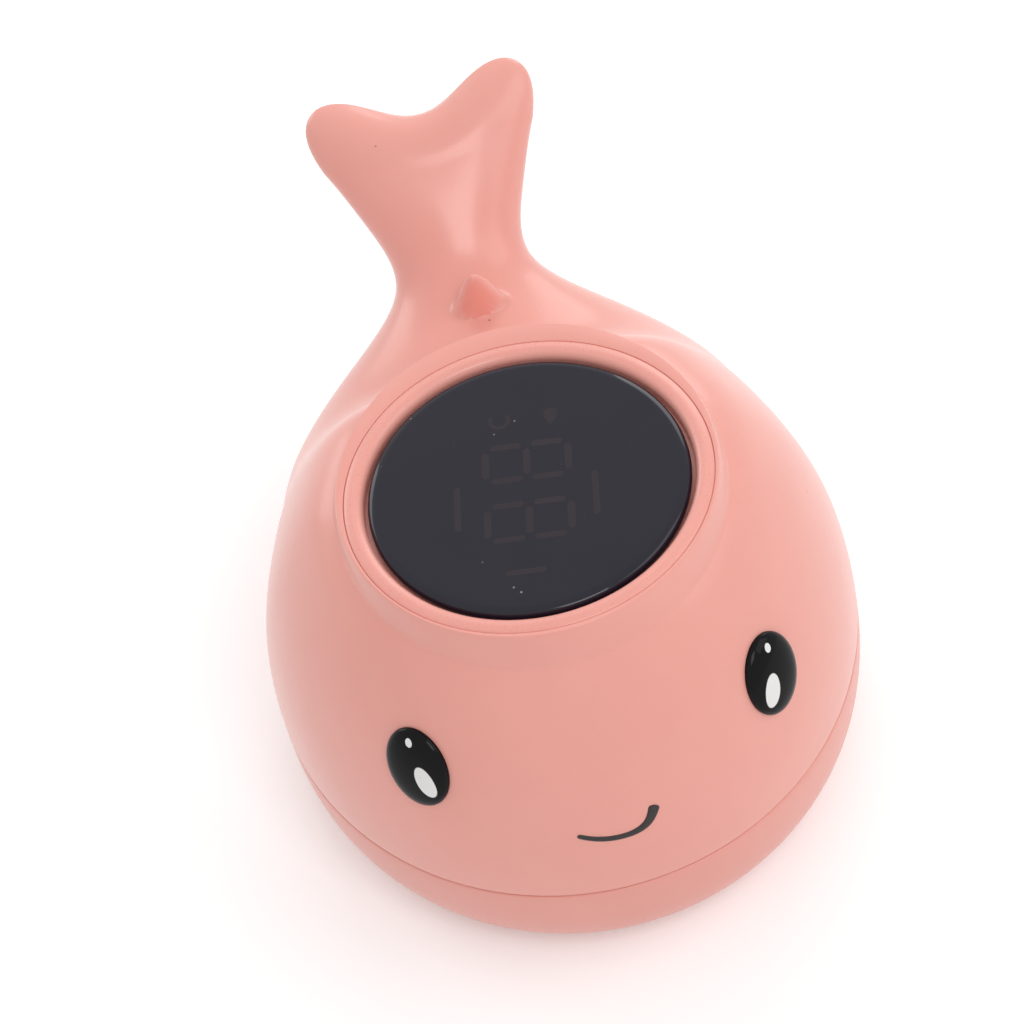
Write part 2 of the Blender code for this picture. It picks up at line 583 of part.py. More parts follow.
strip = [(-7.0, BAY_Z - 0.65), (2.4, BAY_Z - 0.65), (4.2, CELL_TOP + 0.4), (5.2, CELL_TOP + 0.4),
         (5.2, CELL_TOP + 0.7), (4.3, CELL_TOP + 0.7), (2.5, BAY_Z - 0.35), (-7.0, BAY_Z - 0.35)]
prism("minus_contact", [(x, COVER_Y - 2, z) for x, z in strip], (0, 4, 0), SPRING)

# Temperature probe and water contacts
PROBE_PROFILE = [
    (0, 0.4), (2.3, 0.4), (2.6, 0.6), (2.6, 1.0), (1.7, 1.0), (1.7, 7.2), (1.25, 7.2), (1.25, 1.3), (0, 1.3),
]
PIN_PROFILE = [(0, 0.4), (1.3, 0.4), (1.6, 0.6), (1.6, 1.0), (0.8, 1.0), (0.8, 6.0), (0, 6.0)]
turned("probe_cap", PROBE_PROFILE, 0, PROBE_Y, STEEL, steps=28)
disc("probe_bead", 0.8, 1.7, 4.2, 0, PROBE_Y, CHIP, steps=14, edge=0.3)
turned("probe_seal", [(2.0, 4.75), (2.3, 4.5), (2.8, 4.5), (3.05, 4.75), (3.05, 5.15), (2.8, 5.4), (2.3, 5.4),
                      (2.0, 5.15)], 0, PROBE_Y, SEAL, steps=24)
turned("probe_nut", [(2.0, 5.7), (3.2, 5.7), (3.2, 6.6), (2.0, 6.6)], 0, PROBE_Y, ZINC, steps=24)
for side, word in ((-1, "left"), (1, "right")):
    turned(f"water_pin_{word}", PIN_PROFILE, side * PIN_X, PIN_Y, STEEL, steps=12)

# Leads from the base up to the main board
top = BOARD_Z - GAP
for side, word in ((-1, "left"), (1, "right")):
    cord(f"probe_lead_{word}", [(side * 0.45, PROBE_Y, 4.7), (side * 0.5, PROBE_Y, 8.5),
                                (side * 1.8, PROBE_Y + 1.5, 14), (side * 3, DISPLAY_Y - 14, 26),
                                (side * 3, DISPLAY_Y - 14, top)], 0.3, WHITE)
    cord(f"water_lead_{word}", [(side * PIN_X, PIN_Y, 6.4), (side * PIN_X, PIN_Y, 12),
                                (side * 9, DISPLAY_Y - 13, 26), (side * 9, DISPLAY_Y - 13, top)], 0.4, BLACK)
cord("battery_lead_plus", [(6, COVER_Y + 6, 9.2), (6, COVER_Y + 6, 13), (8, COVER_Y + 5, 24),
                           (8, DISPLAY_Y + 12, top)], 0.5, RED)
cord("battery_lead_minus", [(-6, COVER_Y + 6, 9.35), (-6, COVER_Y + 6, 13), (-8, COVER_Y + 5, 24),
                            (-8, DISPLAY_Y + 12, top)], 0.5, BLACK)

# Eyes and smile
EYE_AT = np.array([20.59, DISPLAY_Y - 22.92, 34.08])  # on the right side; the left is its mirror
EYE_WIDE, EYE_TALL = 4.17, 4.97
EYE_TURN = -0.358  # turn of the wide axis from level, in radians
# The eye's section: share of its outline, and rise above its back.
EYE_SECTION = [
    (0.03, 0), (0.6, 0), (0.985, 0), (1.0, 0.25), (0.97, 0.5), (0.85, 0.8), (0.55, 1.04), (0.03, 1.15),
]


def dome_error(p):
    """Below zero inside the dome of the face."""
    k = ((np.abs(p[..., 0]) / HALF_WIDTH) ** FULLNESS
         + (np.abs(p[..., 2] - PARTING_Z) / DOME_HEIGHT) ** FULLNESS) ** (2 / FULLNESS)
    return k + ((p[..., 1] - WIDEST_Y) / NOSE_LENGTH) ** 2 - 1


def dome_normal(p):
    """Outward direction of the face at each point."""
    step = 1e-4
    rises = [dome_error(p + step * axis) - dome_error(p - step * axis) for axis in np.eye(3)]
    slope = np.stack(rises, -1)
    return slope / np.linalg.norm(slope, axis=-1, keepdims=True)


def on_dome(p, direction):
    """Each point moved along the direction until it lies on the face."""
    for _ in range(12):
        slope = (dome_error(p + 1e-4 * direction) - dome_error(p - 1e-4 * direction)) / 2e-4
        p = p - (dome_error(p) / slope)[..., None] * direction
    return p


def patch_frame(centre):
    """Level and upward directions in the face's plane at a point."""
    out = dome_normal(centre)
    level = np.cross([0.0, 0.0, 1.0], out)
    level /= np.linalg.norm(level)
    return out, level, np.cross(out, level)


def shell_patch(name, rims, heights, mat):
    """A thin cap that follows the face: rims are rings of surface points, heights their lift."""
    rings = []
    for rim, lift in zip(rims, heights):
        rings.append(rim + dome_normal(rim) * lift)
    return loft(name, rings, mat)


def eye(name, side):
    centre = on_dome(EYE_AT * (side, 1, 1), dome_normal(EYE_AT * (side, 1, 1)))
    out, level, upward = patch_frame(centre)
    turn = side * EYE_TURN
    around = np.linspace(0, 2 * np.pi, 30, endpoint=False)
    rims, lifts = [], []
    for share, rise in EYE_SECTION:
        u, v = EYE_WIDE * share * np.cos(around), EYE_TALL * share * np.sin(around)
        flat = (centre + (u * np.cos(turn) - v * np.sin(turn))[:, None] * level
                + (u * np.sin(turn) + v * np.cos(turn))[:, None] * upward)
        rims.append(on_dome(flat, out))
        lifts.append(GAP + rise)
    return shell_patch(name, rims, lifts, mat=EYE)


eye("eye_left", -1)
eye("eye_right", 1)

# Knots of the smile as seen from the front: x, height and half thickness.
SMILE_KNOTS = np.array([
    [-5.3, 26.8, 0.28],
    [-2.8, 25.8, 0.34],
    [0.4, 25.5, 0.38],
    [2.8, 26.4, 0.52],
    [4.0, 28.4, 0.70],
])
SMILE = np.stack([spline(np.arange(5), column, np.linspace(0, 4, 11)) for column in SMILE_KNOTS.T], axis=1)


def smile():
    step = np.gradient(SMILE[:, :2], axis=0)
    side = np.stack([-step[:, 1], step[:, 0]], 1) / np.linalg.norm(step, axis=1)[:, None]
    ahead = step / np.linalg.norm(step, axis=1)[:, None]
    upper_edge = SMILE[:, :2] + side * SMILE[:, 2:]
    lower_edge = SMILE[:, :2] - side * SMILE[:, 2:]
    start = SMILE[0, :2] - ahead[0] * SMILE[0, 2]
    end = SMILE[-1, :2] + ahead[-1] * SMILE[-1, 2] * 0.8
    flat = np.vstack([upper_edge, end, lower_edge[::-1], start])
    seen = np.stack([flat[:, 0], np.full(len(flat), DISPLAY_Y - 33.0), flat[:, 1]], 1)
    rim = on_dome(seen, np.array([0.0, -1.0, 0.0]))
    bm = bmesh.new()
    low = [bm.verts.new(p) for p in rim + dome_normal(rim) * GAP]
    high = [bm.verts.new(p) for p in rim + dome_normal(rim) * (GAP + 0.35)]
    n = len(SMILE)
    pairs = [(i, i + 1, 2 * n - 1 - i, 2 * n - i) for i in range(n - 1)]
    for a, b, c, d in pairs:
        bm.faces.new((low[a], low[b], low[c], low[d]))
        bm.faces.new((high[d], high[c], high[b], high[a]))
    for rows, flip in ((low, False), (high, True)):
        tri_end, tri_start = (rows[n - 1], rows[n], rows[n + 1]), (rows[2 * n], rows[2 * n + 1], rows[0])
        for tri in (tri_end, tri_start):
            bm.faces.new(tri[::-1] if flip else tri)
    total = 2 * n + 2
    for j in range(total):
        k = (j + 1) % total
        bm.faces.new((low[j], low[k], high[k], high[j]))
    return finished("smile", bm, INK)


smile()

print("stern at", round(float(STERN_Y), 2), "mm;", len(WHALE.objects), "pieces")
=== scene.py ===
# %% [markdown]
# # A pink whale that reads the bath water
#
# The object is a floating bath thermometer for babies: a hollow pink body with a raised tail, a
# dark round display on its back, two glossy eyes and a small smile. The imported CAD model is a
# fixed frame. Each visible piece is made again here as a fine surface in the same place, and the
# parts inside keep their CAD shape and get a better finish.

import bmesh
import bpy
import numpy as np
from mathutils import Matrix, Vector


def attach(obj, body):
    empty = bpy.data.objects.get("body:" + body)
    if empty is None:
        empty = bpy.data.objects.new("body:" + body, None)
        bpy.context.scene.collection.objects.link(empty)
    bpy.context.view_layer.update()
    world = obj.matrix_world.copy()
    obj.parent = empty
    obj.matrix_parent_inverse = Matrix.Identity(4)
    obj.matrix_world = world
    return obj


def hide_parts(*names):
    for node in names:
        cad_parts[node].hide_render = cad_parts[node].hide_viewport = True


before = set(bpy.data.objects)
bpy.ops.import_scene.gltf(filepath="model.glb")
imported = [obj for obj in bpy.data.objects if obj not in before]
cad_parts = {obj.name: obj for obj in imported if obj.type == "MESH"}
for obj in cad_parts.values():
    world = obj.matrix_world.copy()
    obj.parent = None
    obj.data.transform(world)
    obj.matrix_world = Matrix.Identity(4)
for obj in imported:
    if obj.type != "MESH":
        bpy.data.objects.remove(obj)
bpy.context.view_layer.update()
MM = 0.001

# %% [markdown]
# ## Sizes
#
# All lengths are in millimetres and follow the CAD model. The face looks toward -Y and the tail
# rises toward +Y. The body is a row of leaning ribs, like the ribs of a boat: each row of the
# table below gives one rib's place and size, and a smooth curve runs through the rows.

# %% Sizes of the body
HALF_WIDTH = 36.0
NOSE_LENGTH = 39.5
DOME_HEIGHT = 41.4
PARTING_Z = 16.4
DECK_Z = 50.0
DISPLAY_Y = -14.64
WIDEST_BEHIND = 5.0
WIDEST_Y = DISPLAY_Y + WIDEST_BEHIND
FULLNESS = 2.05
WALL = 2.0
HALF_GAP = 0.1  # half the visible groove between the two shells
CUT_SHARP = 38  # turn in degrees past which an edge of a cut shell stays sharp

# Each row: distance behind the display, height of the centre, lean in degrees, half width, up, down
RIBS = np.array([
    [5.0, 16.4, 0.0, 36.0, 41.4, 20.0],
    [15.0, 17.0, 2.0, 34.2, 39.4, 19.5],
    [24.0, 19.5, 8.0, 31.1, 33.6, 18.0],
    [32.0, 25.2, 19.0, 27.4, 19.6, 14.5],
    [39.2, 31.8, 31.0, 18.5, 11.0, 10.0],
    [45.5, 38.1, 40.0, 9.1, 6.1, 6.4],
    [51.1, 43.6, 44.0, 10.1, 5.2, 5.2],
    [56.0, 48.3, 44.0, 13.6, 4.5, 4.5],
])
LAST_RIB = len(RIBS) - 1
FLUKE_BULGE, FLUKE_TIP, FLUKE_LENGTH = 15.1, 11.2, 6.6
NOTCH_START, NOTCH_DEPTH = 2.5, 4.1
BASE_SHARE, BOWL_POWER = 0.66, 2.7
print(len(RIBS), "ribs, the widest at y =", round(WIDEST_Y, 2), "mm")

# %% [markdown]
# ## Helpers for surfaces
#
# A surface here is a grid of points worked out as whole arrays. These helpers turn grids into
# quads and put them into a mesh in one call, which is far quicker than adding faces one by one.

# %% Helpers for surfaces
def strip_faces(index, around=False):
    """Quads between neighbouring rows and columns of a table of vertex numbers."""
    if around:
        index = np.concatenate([index, index[:, :1]], axis=1)
    corners = index[:-1, :-1], index[:-1, 1:], index[1:, 1:], index[1:, :-1]
    return np.stack([c.ravel() for c in corners], axis=1)


def clean_mesh(mesh, weld=1e-6):
    """Drops doubled points and collapsed faces, and turns every face outward."""
    bm = bmesh.new()
    bm.from_mesh(mesh)
    bmesh.ops.remove_doubles(bm, verts=bm.verts, dist=weld)
    bmesh.ops.dissolve_degenerate(bm, dist=weld / 2, edges=bm.edges)
    loose = [v for v in bm.verts if not v.link_faces]
    bmesh.ops.delete(bm, geom=loose, context="VERTS")
    bmesh.ops.recalc_face_normals(bm, faces=bm.faces)
    bm.to_mesh(mesh)
    bm.free()


def smooth(mesh, sharp):
    """Cleans the mesh and shades it smooth, but for edges that turn by more than an angle."""
    clean_mesh(mesh)
    mesh.shade_smooth()
    mesh.set_sharp_from_angle(angle=np.radians(sharp))


def surface(name, points, faces, sharp=40):
    """An object from points in millimetres and a list of faces."""
    mesh = bpy.data.meshes.new(name)
    mesh.from_pydata((np.asarray(points) * MM).tolist(), [], faces)
    smooth(mesh, sharp)
    obj = bpy.data.objects.new(name, mesh)
    bpy.context.scene.collection.objects.link(obj)
    return obj


def stacked(name, rings, sharp=40):
    """A closed body from a stack of rings: neighbours are joined, the first and last are filled."""
    rings = np.asarray(rings)
    index = np.arange(rings[..., 0].size).reshape(rings.shape[:2])
    faces = strip_faces(index, True).tolist() + [index[0].tolist(), index[-1].tolist()]
    return surface(name, rings.reshape(-1, 3), faces, sharp)


# %% [markdown]
# ## Handing a piece over
#
# A finished piece rides with the whale's one rigid body and, where it stands for CAD nodes,
# hides those. Its open edges are counted, because a skin with a gap looks fine in a picture but
# can't be cut cleanly and has no inside.

# %% Handing a piece over
def open_edges(obj):
    """How many edges of the mesh don't join exactly two faces."""
    bm = bmesh.new()
    bm.from_mesh(obj.data)
    count = sum(1 for e in bm.edges if len(e.link_faces) != 2)
    bm.free()
    return count


def show(obj, slot, *nodes):
    """The piece rides with the whale and hides the CAD nodes it stands for; the slot is not used."""
    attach(obj, "root")
    if nodes:
        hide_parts(*nodes)
    triangles = sum(len(p.vertices) - 2 for p in obj.data.polygons)
    print(f"{obj.name}: {triangles} triangles, {open_edges(obj)} open edges")
    return obj


# %% [markdown]
# ## The camera
#
# The photograph looks down on the whale's forehead from in front, with the picture turned about
# 14.5 degrees. The lens and the place were worked out from the round display, which looks like an
# oval of known shape, and from the outline of the body.

# %% The camera
EYE_POINT = np.array([-7.53, -249.95, 325.41])
FORWARD = np.array([0.0135, 0.6435, -0.7653])
PICTURE_TURN = np.radians(14.5)
LENS, SENSOR = 111.93, 36.0

level = np.cross(FORWARD, [0, 0, 1])
level /= np.linalg.norm(level)
upward = np.cross(level, FORWARD)
right = np.cos(PICTURE_TURN) * level - np.sin(PICTURE_TURN) * upward
above = np.sin(PICTURE_TURN) * level + np.cos(PICTURE_TURN) * upward
camera = bpy.data.objects.new("camera", bpy.data.cameras.new("camera"))
bpy.context.scene.collection.objects.link(camera)
pose = np.eye(4)
pose[:3, :3] = np.stack([right, above, -FORWARD / np.linalg.norm(FORWARD)], axis=1)
pose[:3, 3] = EYE_POINT * MM
camera.matrix_world = Matrix(pose.tolist())
camera.data.lens, camera.data.sensor_width = LENS, SENSOR
camera.data.clip_start, camera.data.clip_end = 0.01, 20
bpy.context.scene.camera = camera
print("camera looks down", round(float(np.degrees(np.arcsin(-FORWARD[2]))), 1), "degrees")

# %% [markdown]
# ## Light
#
# The photograph was taken in a bright white studio. An even white surround gives the soft
# shading, a large panel up on the right makes that side a little brighter, a smaller one above the
# camera gives the soft highlights of forehead and tail, and three behind give the pale patches at
# the root of the tail. The surround lights the whale at a plain level, but the camera and the gloss
# see it plain white: the Light Path node tells which kind of ray asks.

# %% Light
SKY_LEVEL = 0.66

bpy.context.scene.view_settings.view_transform = "Standard"


def is_seen(tree):
    """1 where a ray comes from the camera, a reflection or a clear material, else 0."""
    path = tree.nodes.new("ShaderNodeLightPath")
    total = path.outputs["Is Camera Ray"]
    for ray in ("Is Glossy Ray", "Is Transmission Ray"):
        add = tree.nodes.new("ShaderNodeMath")
        add.operation, add.use_clamp = "ADD", True
        tree.links.new(total, add.inputs[0])
        tree.links.new(path.outputs[ray], add.inputs[1])
        total = add.outputs[0]
    return total


def between(tree, low, high, share, first=0.0, last=1.0):
    """From low, where the share is first, to high, where it is last, along 3 s^2 - 2 s^3."""
    blend = tree.nodes.new("ShaderNodeMapRange")
    blend.interpolation_type = "SMOOTHSTEP"
    for name, value in (("To Min", low), ("To Max", high), ("From Min", first), ("From Max", last)):
        blend.inputs[name].default_value = value
    tree.links.new(share, blend.inputs["Value"])
    return blend.outputs[0]


world = bpy.data.worlds.new("white_surround")
bpy.context.scene.world = world
world.use_nodes = True
tree = world.node_tree
sky = tree.nodes["Background"]
sky.inputs["Color"].default_value = (1, 1, 1, 1)
tree.links.new(between(tree, SKY_LEVEL, 1.0, is_seen(tree)), sky.inputs["Strength"])


def lamp(name, place, aim, size, power, in_gloss=True):
    """A square panel at a place, turned to face the aim, both in millimetres."""
    data = bpy.data.lights.new(name, "AREA")
    data.size, data.energy = size * MM, power
    obj = bpy.data.objects.new(name, data)
    obj.location = Vector(place) * MM
    obj.visible_glossy = in_gloss
    obj.rotation_euler = (Vector(aim) - Vector(place)).to_track_quat("-Z", "Y").to_euler()
    bpy.context.scene.collection.objects.link(obj)


lamp("right_panel", (420, -120, 420), (0, 0, 30), 380, 0.55)
lamp("front_panel", (100, -340, 510), (0, 0, 30), 230, 0.72)
lamp("back_left", (-350, 450, 260), (0, 20, 40), 250, 0.4)
lamp("back_right", (300, 480, 280), (0, 20, 40), 250, 0.4)
lamp("back_panel", (60, 420, 380), (0, 10, 30), 320, 0.45, in_gloss=False)

# %% [markdown]
# ## Floor
#
# The whale stands on white paper, which carries its faint shadow. The paper glows a little where
# the camera or the gloss sees it, more so far from the whale, so that it runs out into the white
# surround with no line between them.

# %% Floor
FLOOR_LIFT = (0.16, 0.42)  # glow of the white paper near the whale and far from it
FLOOR_NEAR, FLOOR_FAR = 0.2, 0.7  # distances in metres between which that glow grows
FLOOR_SIDE = 6.0

bpy.ops.mesh.primitive_plane_add(size=FLOOR_SIDE, location=(0, 0, 0))
floor = bpy.context.object
floor.name = "floor"
paper = bpy.data.materials.new("white_paper")
paper.use_nodes = True
tree = paper.node_tree
sheet = tree.nodes["Principled BSDF"]
sheet.inputs["Base Color"].default_value = (0.95, 0.95, 0.95, 1)
sheet.inputs["Roughness"].default_value = 0.9
sheet.inputs["Specular IOR Level"].default_value = 0.0
sheet.inputs["Emission Color"].default_value = (1, 1, 1, 1)
on_floor = tree.nodes.new("ShaderNodeTexCoord")
far = tree.nodes.new("ShaderNodeVectorMath")
far.operation = "LENGTH"
tree.links.new(on_floor.outputs["Object"], far.inputs[0])
glow = between(tree, 0.0, 1.0, is_seen(tree))
lift = between(tree, *FLOOR_LIFT, far.outputs["Value"], FLOOR_NEAR, FLOOR_FAR)
tree.links.new(lift, glow.node.inputs["To Max"])
tree.links.new(glow, sheet.inputs["Emission Strength"])
floor.data.materials.append(paper)
print("floor:", FLOOR_SIDE, "m of", paper.name)

# %% [markdown]
# ## A curve through the ribs
#
# Between the rows of the table every size follows a smooth curve. A straight line from rib to rib
# would show a crease at each, so a natural cubic runs through them, as a draughtsman's thin wooden
# lath does, level at the widest rib, where the half egg of the face begins.

# %% A curve through the ribs
def spline(knots, values, at):
    """Natural cubic through the knots: a + b t + c t^2 + d t^3 on each stretch."""
    count, step = len(knots), np.diff(knots)
    matrix, side = np.eye(count), np.zeros(count)
    for i in range(1, count - 1):
        matrix[i, i - 1:i + 2] = step[i - 1], 2 * (step[i - 1] + step[i]), step[i]
        side[i] = 3 * ((values[i + 1] - values[i]) / step[i] - (values[i] - values[i - 1]) / step[i - 1])
    bend = np.linalg.solve(matrix, side)
    k = np.clip(np.searchsorted(knots, at) - 1, 0, count - 2)
    cube = (bend[k + 1] - bend[k]) / (3 * step[k])
    slope = (values[k + 1] - values[k]) / step[k] - step[k] * (2 * bend[k] + bend[k + 1]) / 3
    t = at - knots[k]
    return values[k] + slope * t + bend[k] * t * t + cube * t ** 3


def rib_values(at):
    """The six rib sizes at places along the body, level at the widest rib."""
    places = np.arange(len(RIBS), dtype=float)
    mirror = np.concatenate([-places[2:0:-1], places])
    values = [spline(places, RIBS[:, 0], at)]
    values += [spline(mirror, np.concatenate([RIBS[2:0:-1, i], RIBS[:, i]]), at) for i in range(1, 6)]
    return np.array(values)


halfway = rib_values(np.array([1.5]))[:, 0]
print("half way from rib 1 to rib 2:", np.round(halfway, 2).tolist())

# %% [markdown]
# ## The ribs
#
# The same rib formula as in the CAD model, but for a whole grid of points at once. In front of the
# widest rib the body is half an egg, behind it the ribs follow the table, and past the last rib
# they shrink to the rounded edge of the flukes. Where a rib crosses the parting height is an
# angle that the formula turned round gives.

# %% The ribs
def rib_points(around, behind, height, lean, half, up, down, lead):
    """Points on ribs: x = half cos^(2/n) a and tall = up or down times sin^(2/n) a, leaning back."""
    across = np.sign(np.cos(around)) * np.abs(np.cos(around)) ** (2 / FULLNESS)
    rise = np.sign(np.sin(around)) * np.abs(np.sin(around)) ** (2 / FULLNESS)
    tall = np.where(rise > 0, up, down) * rise
    ahead = lead * (1 - np.cos(np.pi * np.abs(across))) / 2
    lean = np.radians(lean)
    y = DISPLAY_Y + behind - tall * np.sin(lean) + ahead * np.cos(lean)
    z = height + tall * np.cos(lean) + ahead * np.sin(lean)
    return np.stack([half * across, y, z], -1)


def egg_rows(turns, shrink=0.0):
    """Rib sizes in front of the widest rib: the turn runs from 0 at the nose to a quarter turn.

    Width and heights grow as sin turn, and the place runs back from the nose as cos turn falls."""
    part = np.sin(turns)
    flat = np.zeros_like(part)
    return np.array([WIDEST_BEHIND - (NOSE_LENGTH - shrink) * np.cos(turns), flat + PARTING_Z, flat,
                     (HALF_WIDTH - shrink) * part, (DOME_HEIGHT - shrink) * part,
                     (RIBS[0, 5] - shrink) * part, flat])


def body_rows(places, shrink=0.0):
    """Rib sizes behind the widest rib, with the flukes' sides led backward near the end."""
    values = rib_values(places)
    values[3:] -= shrink
    ease = np.clip((places - 5) / 2, 0, 1)
    return np.vstack([values, NOTCH_START * ease * ease * (3 - 2 * ease)])


def fluke_rows(turns):
    """Rib sizes over the rounded closing edge of the flukes: thickness cos turn, length sin turn."""
    behind, height, lean, half, up, down = RIBS[-1]
    run, slant = FLUKE_LENGTH * np.sin(turns), np.radians(lean)
    wide = FLUKE_TIP + (half - FLUKE_TIP) * np.cos(turns) + (FLUKE_BULGE - half) * np.sin(2 * turns)
    thick = np.maximum(np.cos(turns), 0.02)
    return np.array([behind + run * np.cos(slant), height + run * np.sin(slant), lean + 0 * turns, wide,
                     up * thick, down * thick, NOTCH_START + (NOTCH_DEPTH - NOTCH_START) * np.sin(turns)])


def cut_angle(rows, height):
    """Where each rib crosses a height, as the angle round the rib: -90 degrees if it never does."""
    _, middle, lean, _, up, down, _ = rows
    tall = (height - middle) / np.cos(np.radians(lean))
    share = np.clip(np.abs(tall) / np.maximum(np.where(tall > 0, up, down), 1e-6), 0, 1)
    return np.sign(tall) * np.arcsin(share ** (FULLNESS / 2))


def stern_place(height):
    """The place along the body where the underside of the ribs rises through a height."""
    low, high = 2.0, 5.0  # the ribs between which it happens, halved again and again
    for _ in range(50):
        middle = (low + high) / 2
        rows = body_rows(np.array([middle]))
        bottom = rows[1] - rows[5] * np.cos(np.radians(rows[2]))
        low, high = (middle, high) if bottom[0] < height else (low, middle)
    return low


def nose_turn(height):
    """The turn at which the top of the egg rises through a height just above the parting line."""
    return np.arcsin(min(1, max(0, height - PARTING_Z) / DOME_HEIGHT))


print("the underside leaves the parting height at rib", round(stern_place(PARTING_Z), 3))

# %% [markdown]
# ## The raised deck
#
# Round the display the back of the whale is cut flat, and a low collar carries the ring. Seen
# from above this part is a plain height map, so its height is a formula of x and y: the egg, cut
# flat by a soft minimum, and joined to the collar's wall by a soft maximum that leaves a rounded
# crease.

# %% Heights of the deck
COLLAR_X, COLLAR_Y, COLLAR_SHIFT = 22.0, 23.1, 1.2
COLLAR_MIDDLE = DISPLAY_Y + COLLAR_SHIFT
WALL_SLOPE, LIP = 4.6, 0.30
DECK_EASE, FOOT_EASE = 5.5, 0.8
FOOT_FALL = 2.4  # drop from deck to body past which the collar's crease is fully soft


def soft_low(a, b, ease):
    """The lower of two heights, its corner rounded: their mix at share h, less ease h (1 - h)."""
    h = np.clip(0.5 + 0.5 * (b - a) / ease, 0, 1)
    return b + (a - b) * h - ease * h * (1 - h)


def body_height(x, y):
    """Height of the plain body over a point seen from above.

    Behind the widest rib the rib whose top lies over the point is found by halving, and in front
    the egg gives it: height = centre + up (1 - (x / half)^n)^(1/n)."""
    def shared(half):
        """Share of the rise that is left over x on a rib of this half width."""
        return np.clip(1 - (np.abs(x) / half) ** FULLNESS, 0, 1) ** (1 / FULLNESS)

    low, high = np.zeros_like(x), np.full_like(x, 6.0)
    for _ in range(40):
        middle = (low + high) / 2
        behind, height, lean, half, up, _ = rib_values(middle)
        tall = up * shared(half)
        ahead = DISPLAY_Y + behind - tall * np.sin(np.radians(lean)) < y
        low, high = np.where(ahead, middle, low), np.where(ahead, high, middle)
    back = height + tall * np.cos(np.radians(lean))
    part = np.sqrt(np.clip(1 - ((y - WIDEST_Y) / NOSE_LENGTH) ** 2, 1e-9, 1))
    front = PARTING_Z + DOME_HEIGHT * part * shared(HALF_WIDTH * part)
    return np.where(y < WIDEST_Y, front, back)


def decked(z):
    """The height cut flat at the deck, with an eased edge."""
    return soft_low(z, DECK_Z, DECK_EASE)


def collar_reach(angle):
    """Distance from the collar's middle to its lip in a direction: an oval."""
    return 1 / np.sqrt((np.cos(angle) / COLLAR_X) ** 2 + (np.sin(angle) / COLLAR_Y) ** 2)


def deck_height(x, y):
    """Height of the finished back near the display: the higher of collar and body, eased."""
    angle = np.arctan2(y - COLLAR_MIDDLE, x)
    lip = collar_reach(angle)
    out = np.maximum(np.hypot(x, y - COLLAR_MIDDLE) - lip, 0)
    collar = DECK_Z - WALL_SLOPE * (np.sqrt(out ** 2 + LIP ** 2) - LIP)
    body = decked(body_height(x, y))
    fall = DECK_Z - decked(body_height(lip * np.cos(angle), COLLAR_MIDDLE + lip * np.sin(angle)))
    ease = FOOT_EASE * np.clip(fall / FOOT_FALL, 0.02, 1)
    return -soft_low(-body, -collar, ease)


front_foot = float(deck_height(np.array([0.0]), np.array([DISPLAY_Y - 23.5]))[0])
print("height in front of the collar:", round(front_foot, 2), "mm")

# %% [markdown]
# ## The upper shell
#
# The upper shell is one moulding from the parting line to the tip of the flukes. It could be
# sculpted, or modelled under Subdivision Surface, but the ribs of the CAD model already say where
# the skin runs, so its grid is worked out from them. A small fin stands on the root of the tail:
# the points are drawn together there, so that they are dense enough, and lifted.

# %% Grid of the upper skin
COLUMNS = 176
EDGE_LIFT = 0.30  # how far the rounded lip reaches up from the parting edge
UPPER_EDGE = PARTING_Z + HALF_GAP
FIN_X, FIN_Y, FIN_TOP = 0.7, DISPLAY_Y + 37.2, 46.7
FIN_WIDE, FIN_LONG, FIN_FALL = 3.0, 1.8, 8.0  # half sizes across and along, and the drop over them
FIN_TIP, FIN_FOOT = 0.6, 1.0  # roundness of the tip, as a share of the half sizes, and of the foot
FIN_REACH, FIN_DRAW = 7.0, 0.45  # how far round the axis the grid is drawn together, and the power
FIN_BELOW = 30.0  # points lower than this are the underside and stay
ROWS = 63, 92, 58, 15  # in front, over the open half of the back, over the tail, round the flukes' edge


def shell_rows(height):
    """Rib rows from the nose to the flukes' edge, and how many lie before the stern."""
    stern = stern_place(height)
    egg = egg_rows(np.linspace(nose_turn(height), np.pi / 2, ROWS[0])[:-1])
    q = np.linspace(0, 1, ROWS[1])
    back = body_rows(stern * (1 - (1 - q) ** 2))
    q = np.linspace(0, 1, ROWS[2])[1:]
    tail = body_rows(stern + (LAST_RIB - stern) * q ** 1.5)
    edge = fluke_rows(np.linspace(0, np.pi / 2, ROWS[3])[1:])
    return np.hstack([egg, back, tail, edge]), egg.shape[1] + back.shape[1]


def shell_grid(height):
    """Points of the skin above a height, as rows of COLUMNS + 1 points."""
    rows, open_count = shell_rows(height)
    start = cut_angle(rows, height)
    start[open_count - 1:] = -np.pi / 2
    share = np.linspace(0, 1, COLUMNS + 1)
    around = start[:, None] + (np.pi - 2 * start[:, None]) * share
    return rib_points(around, *rows[:, :, None]), open_count


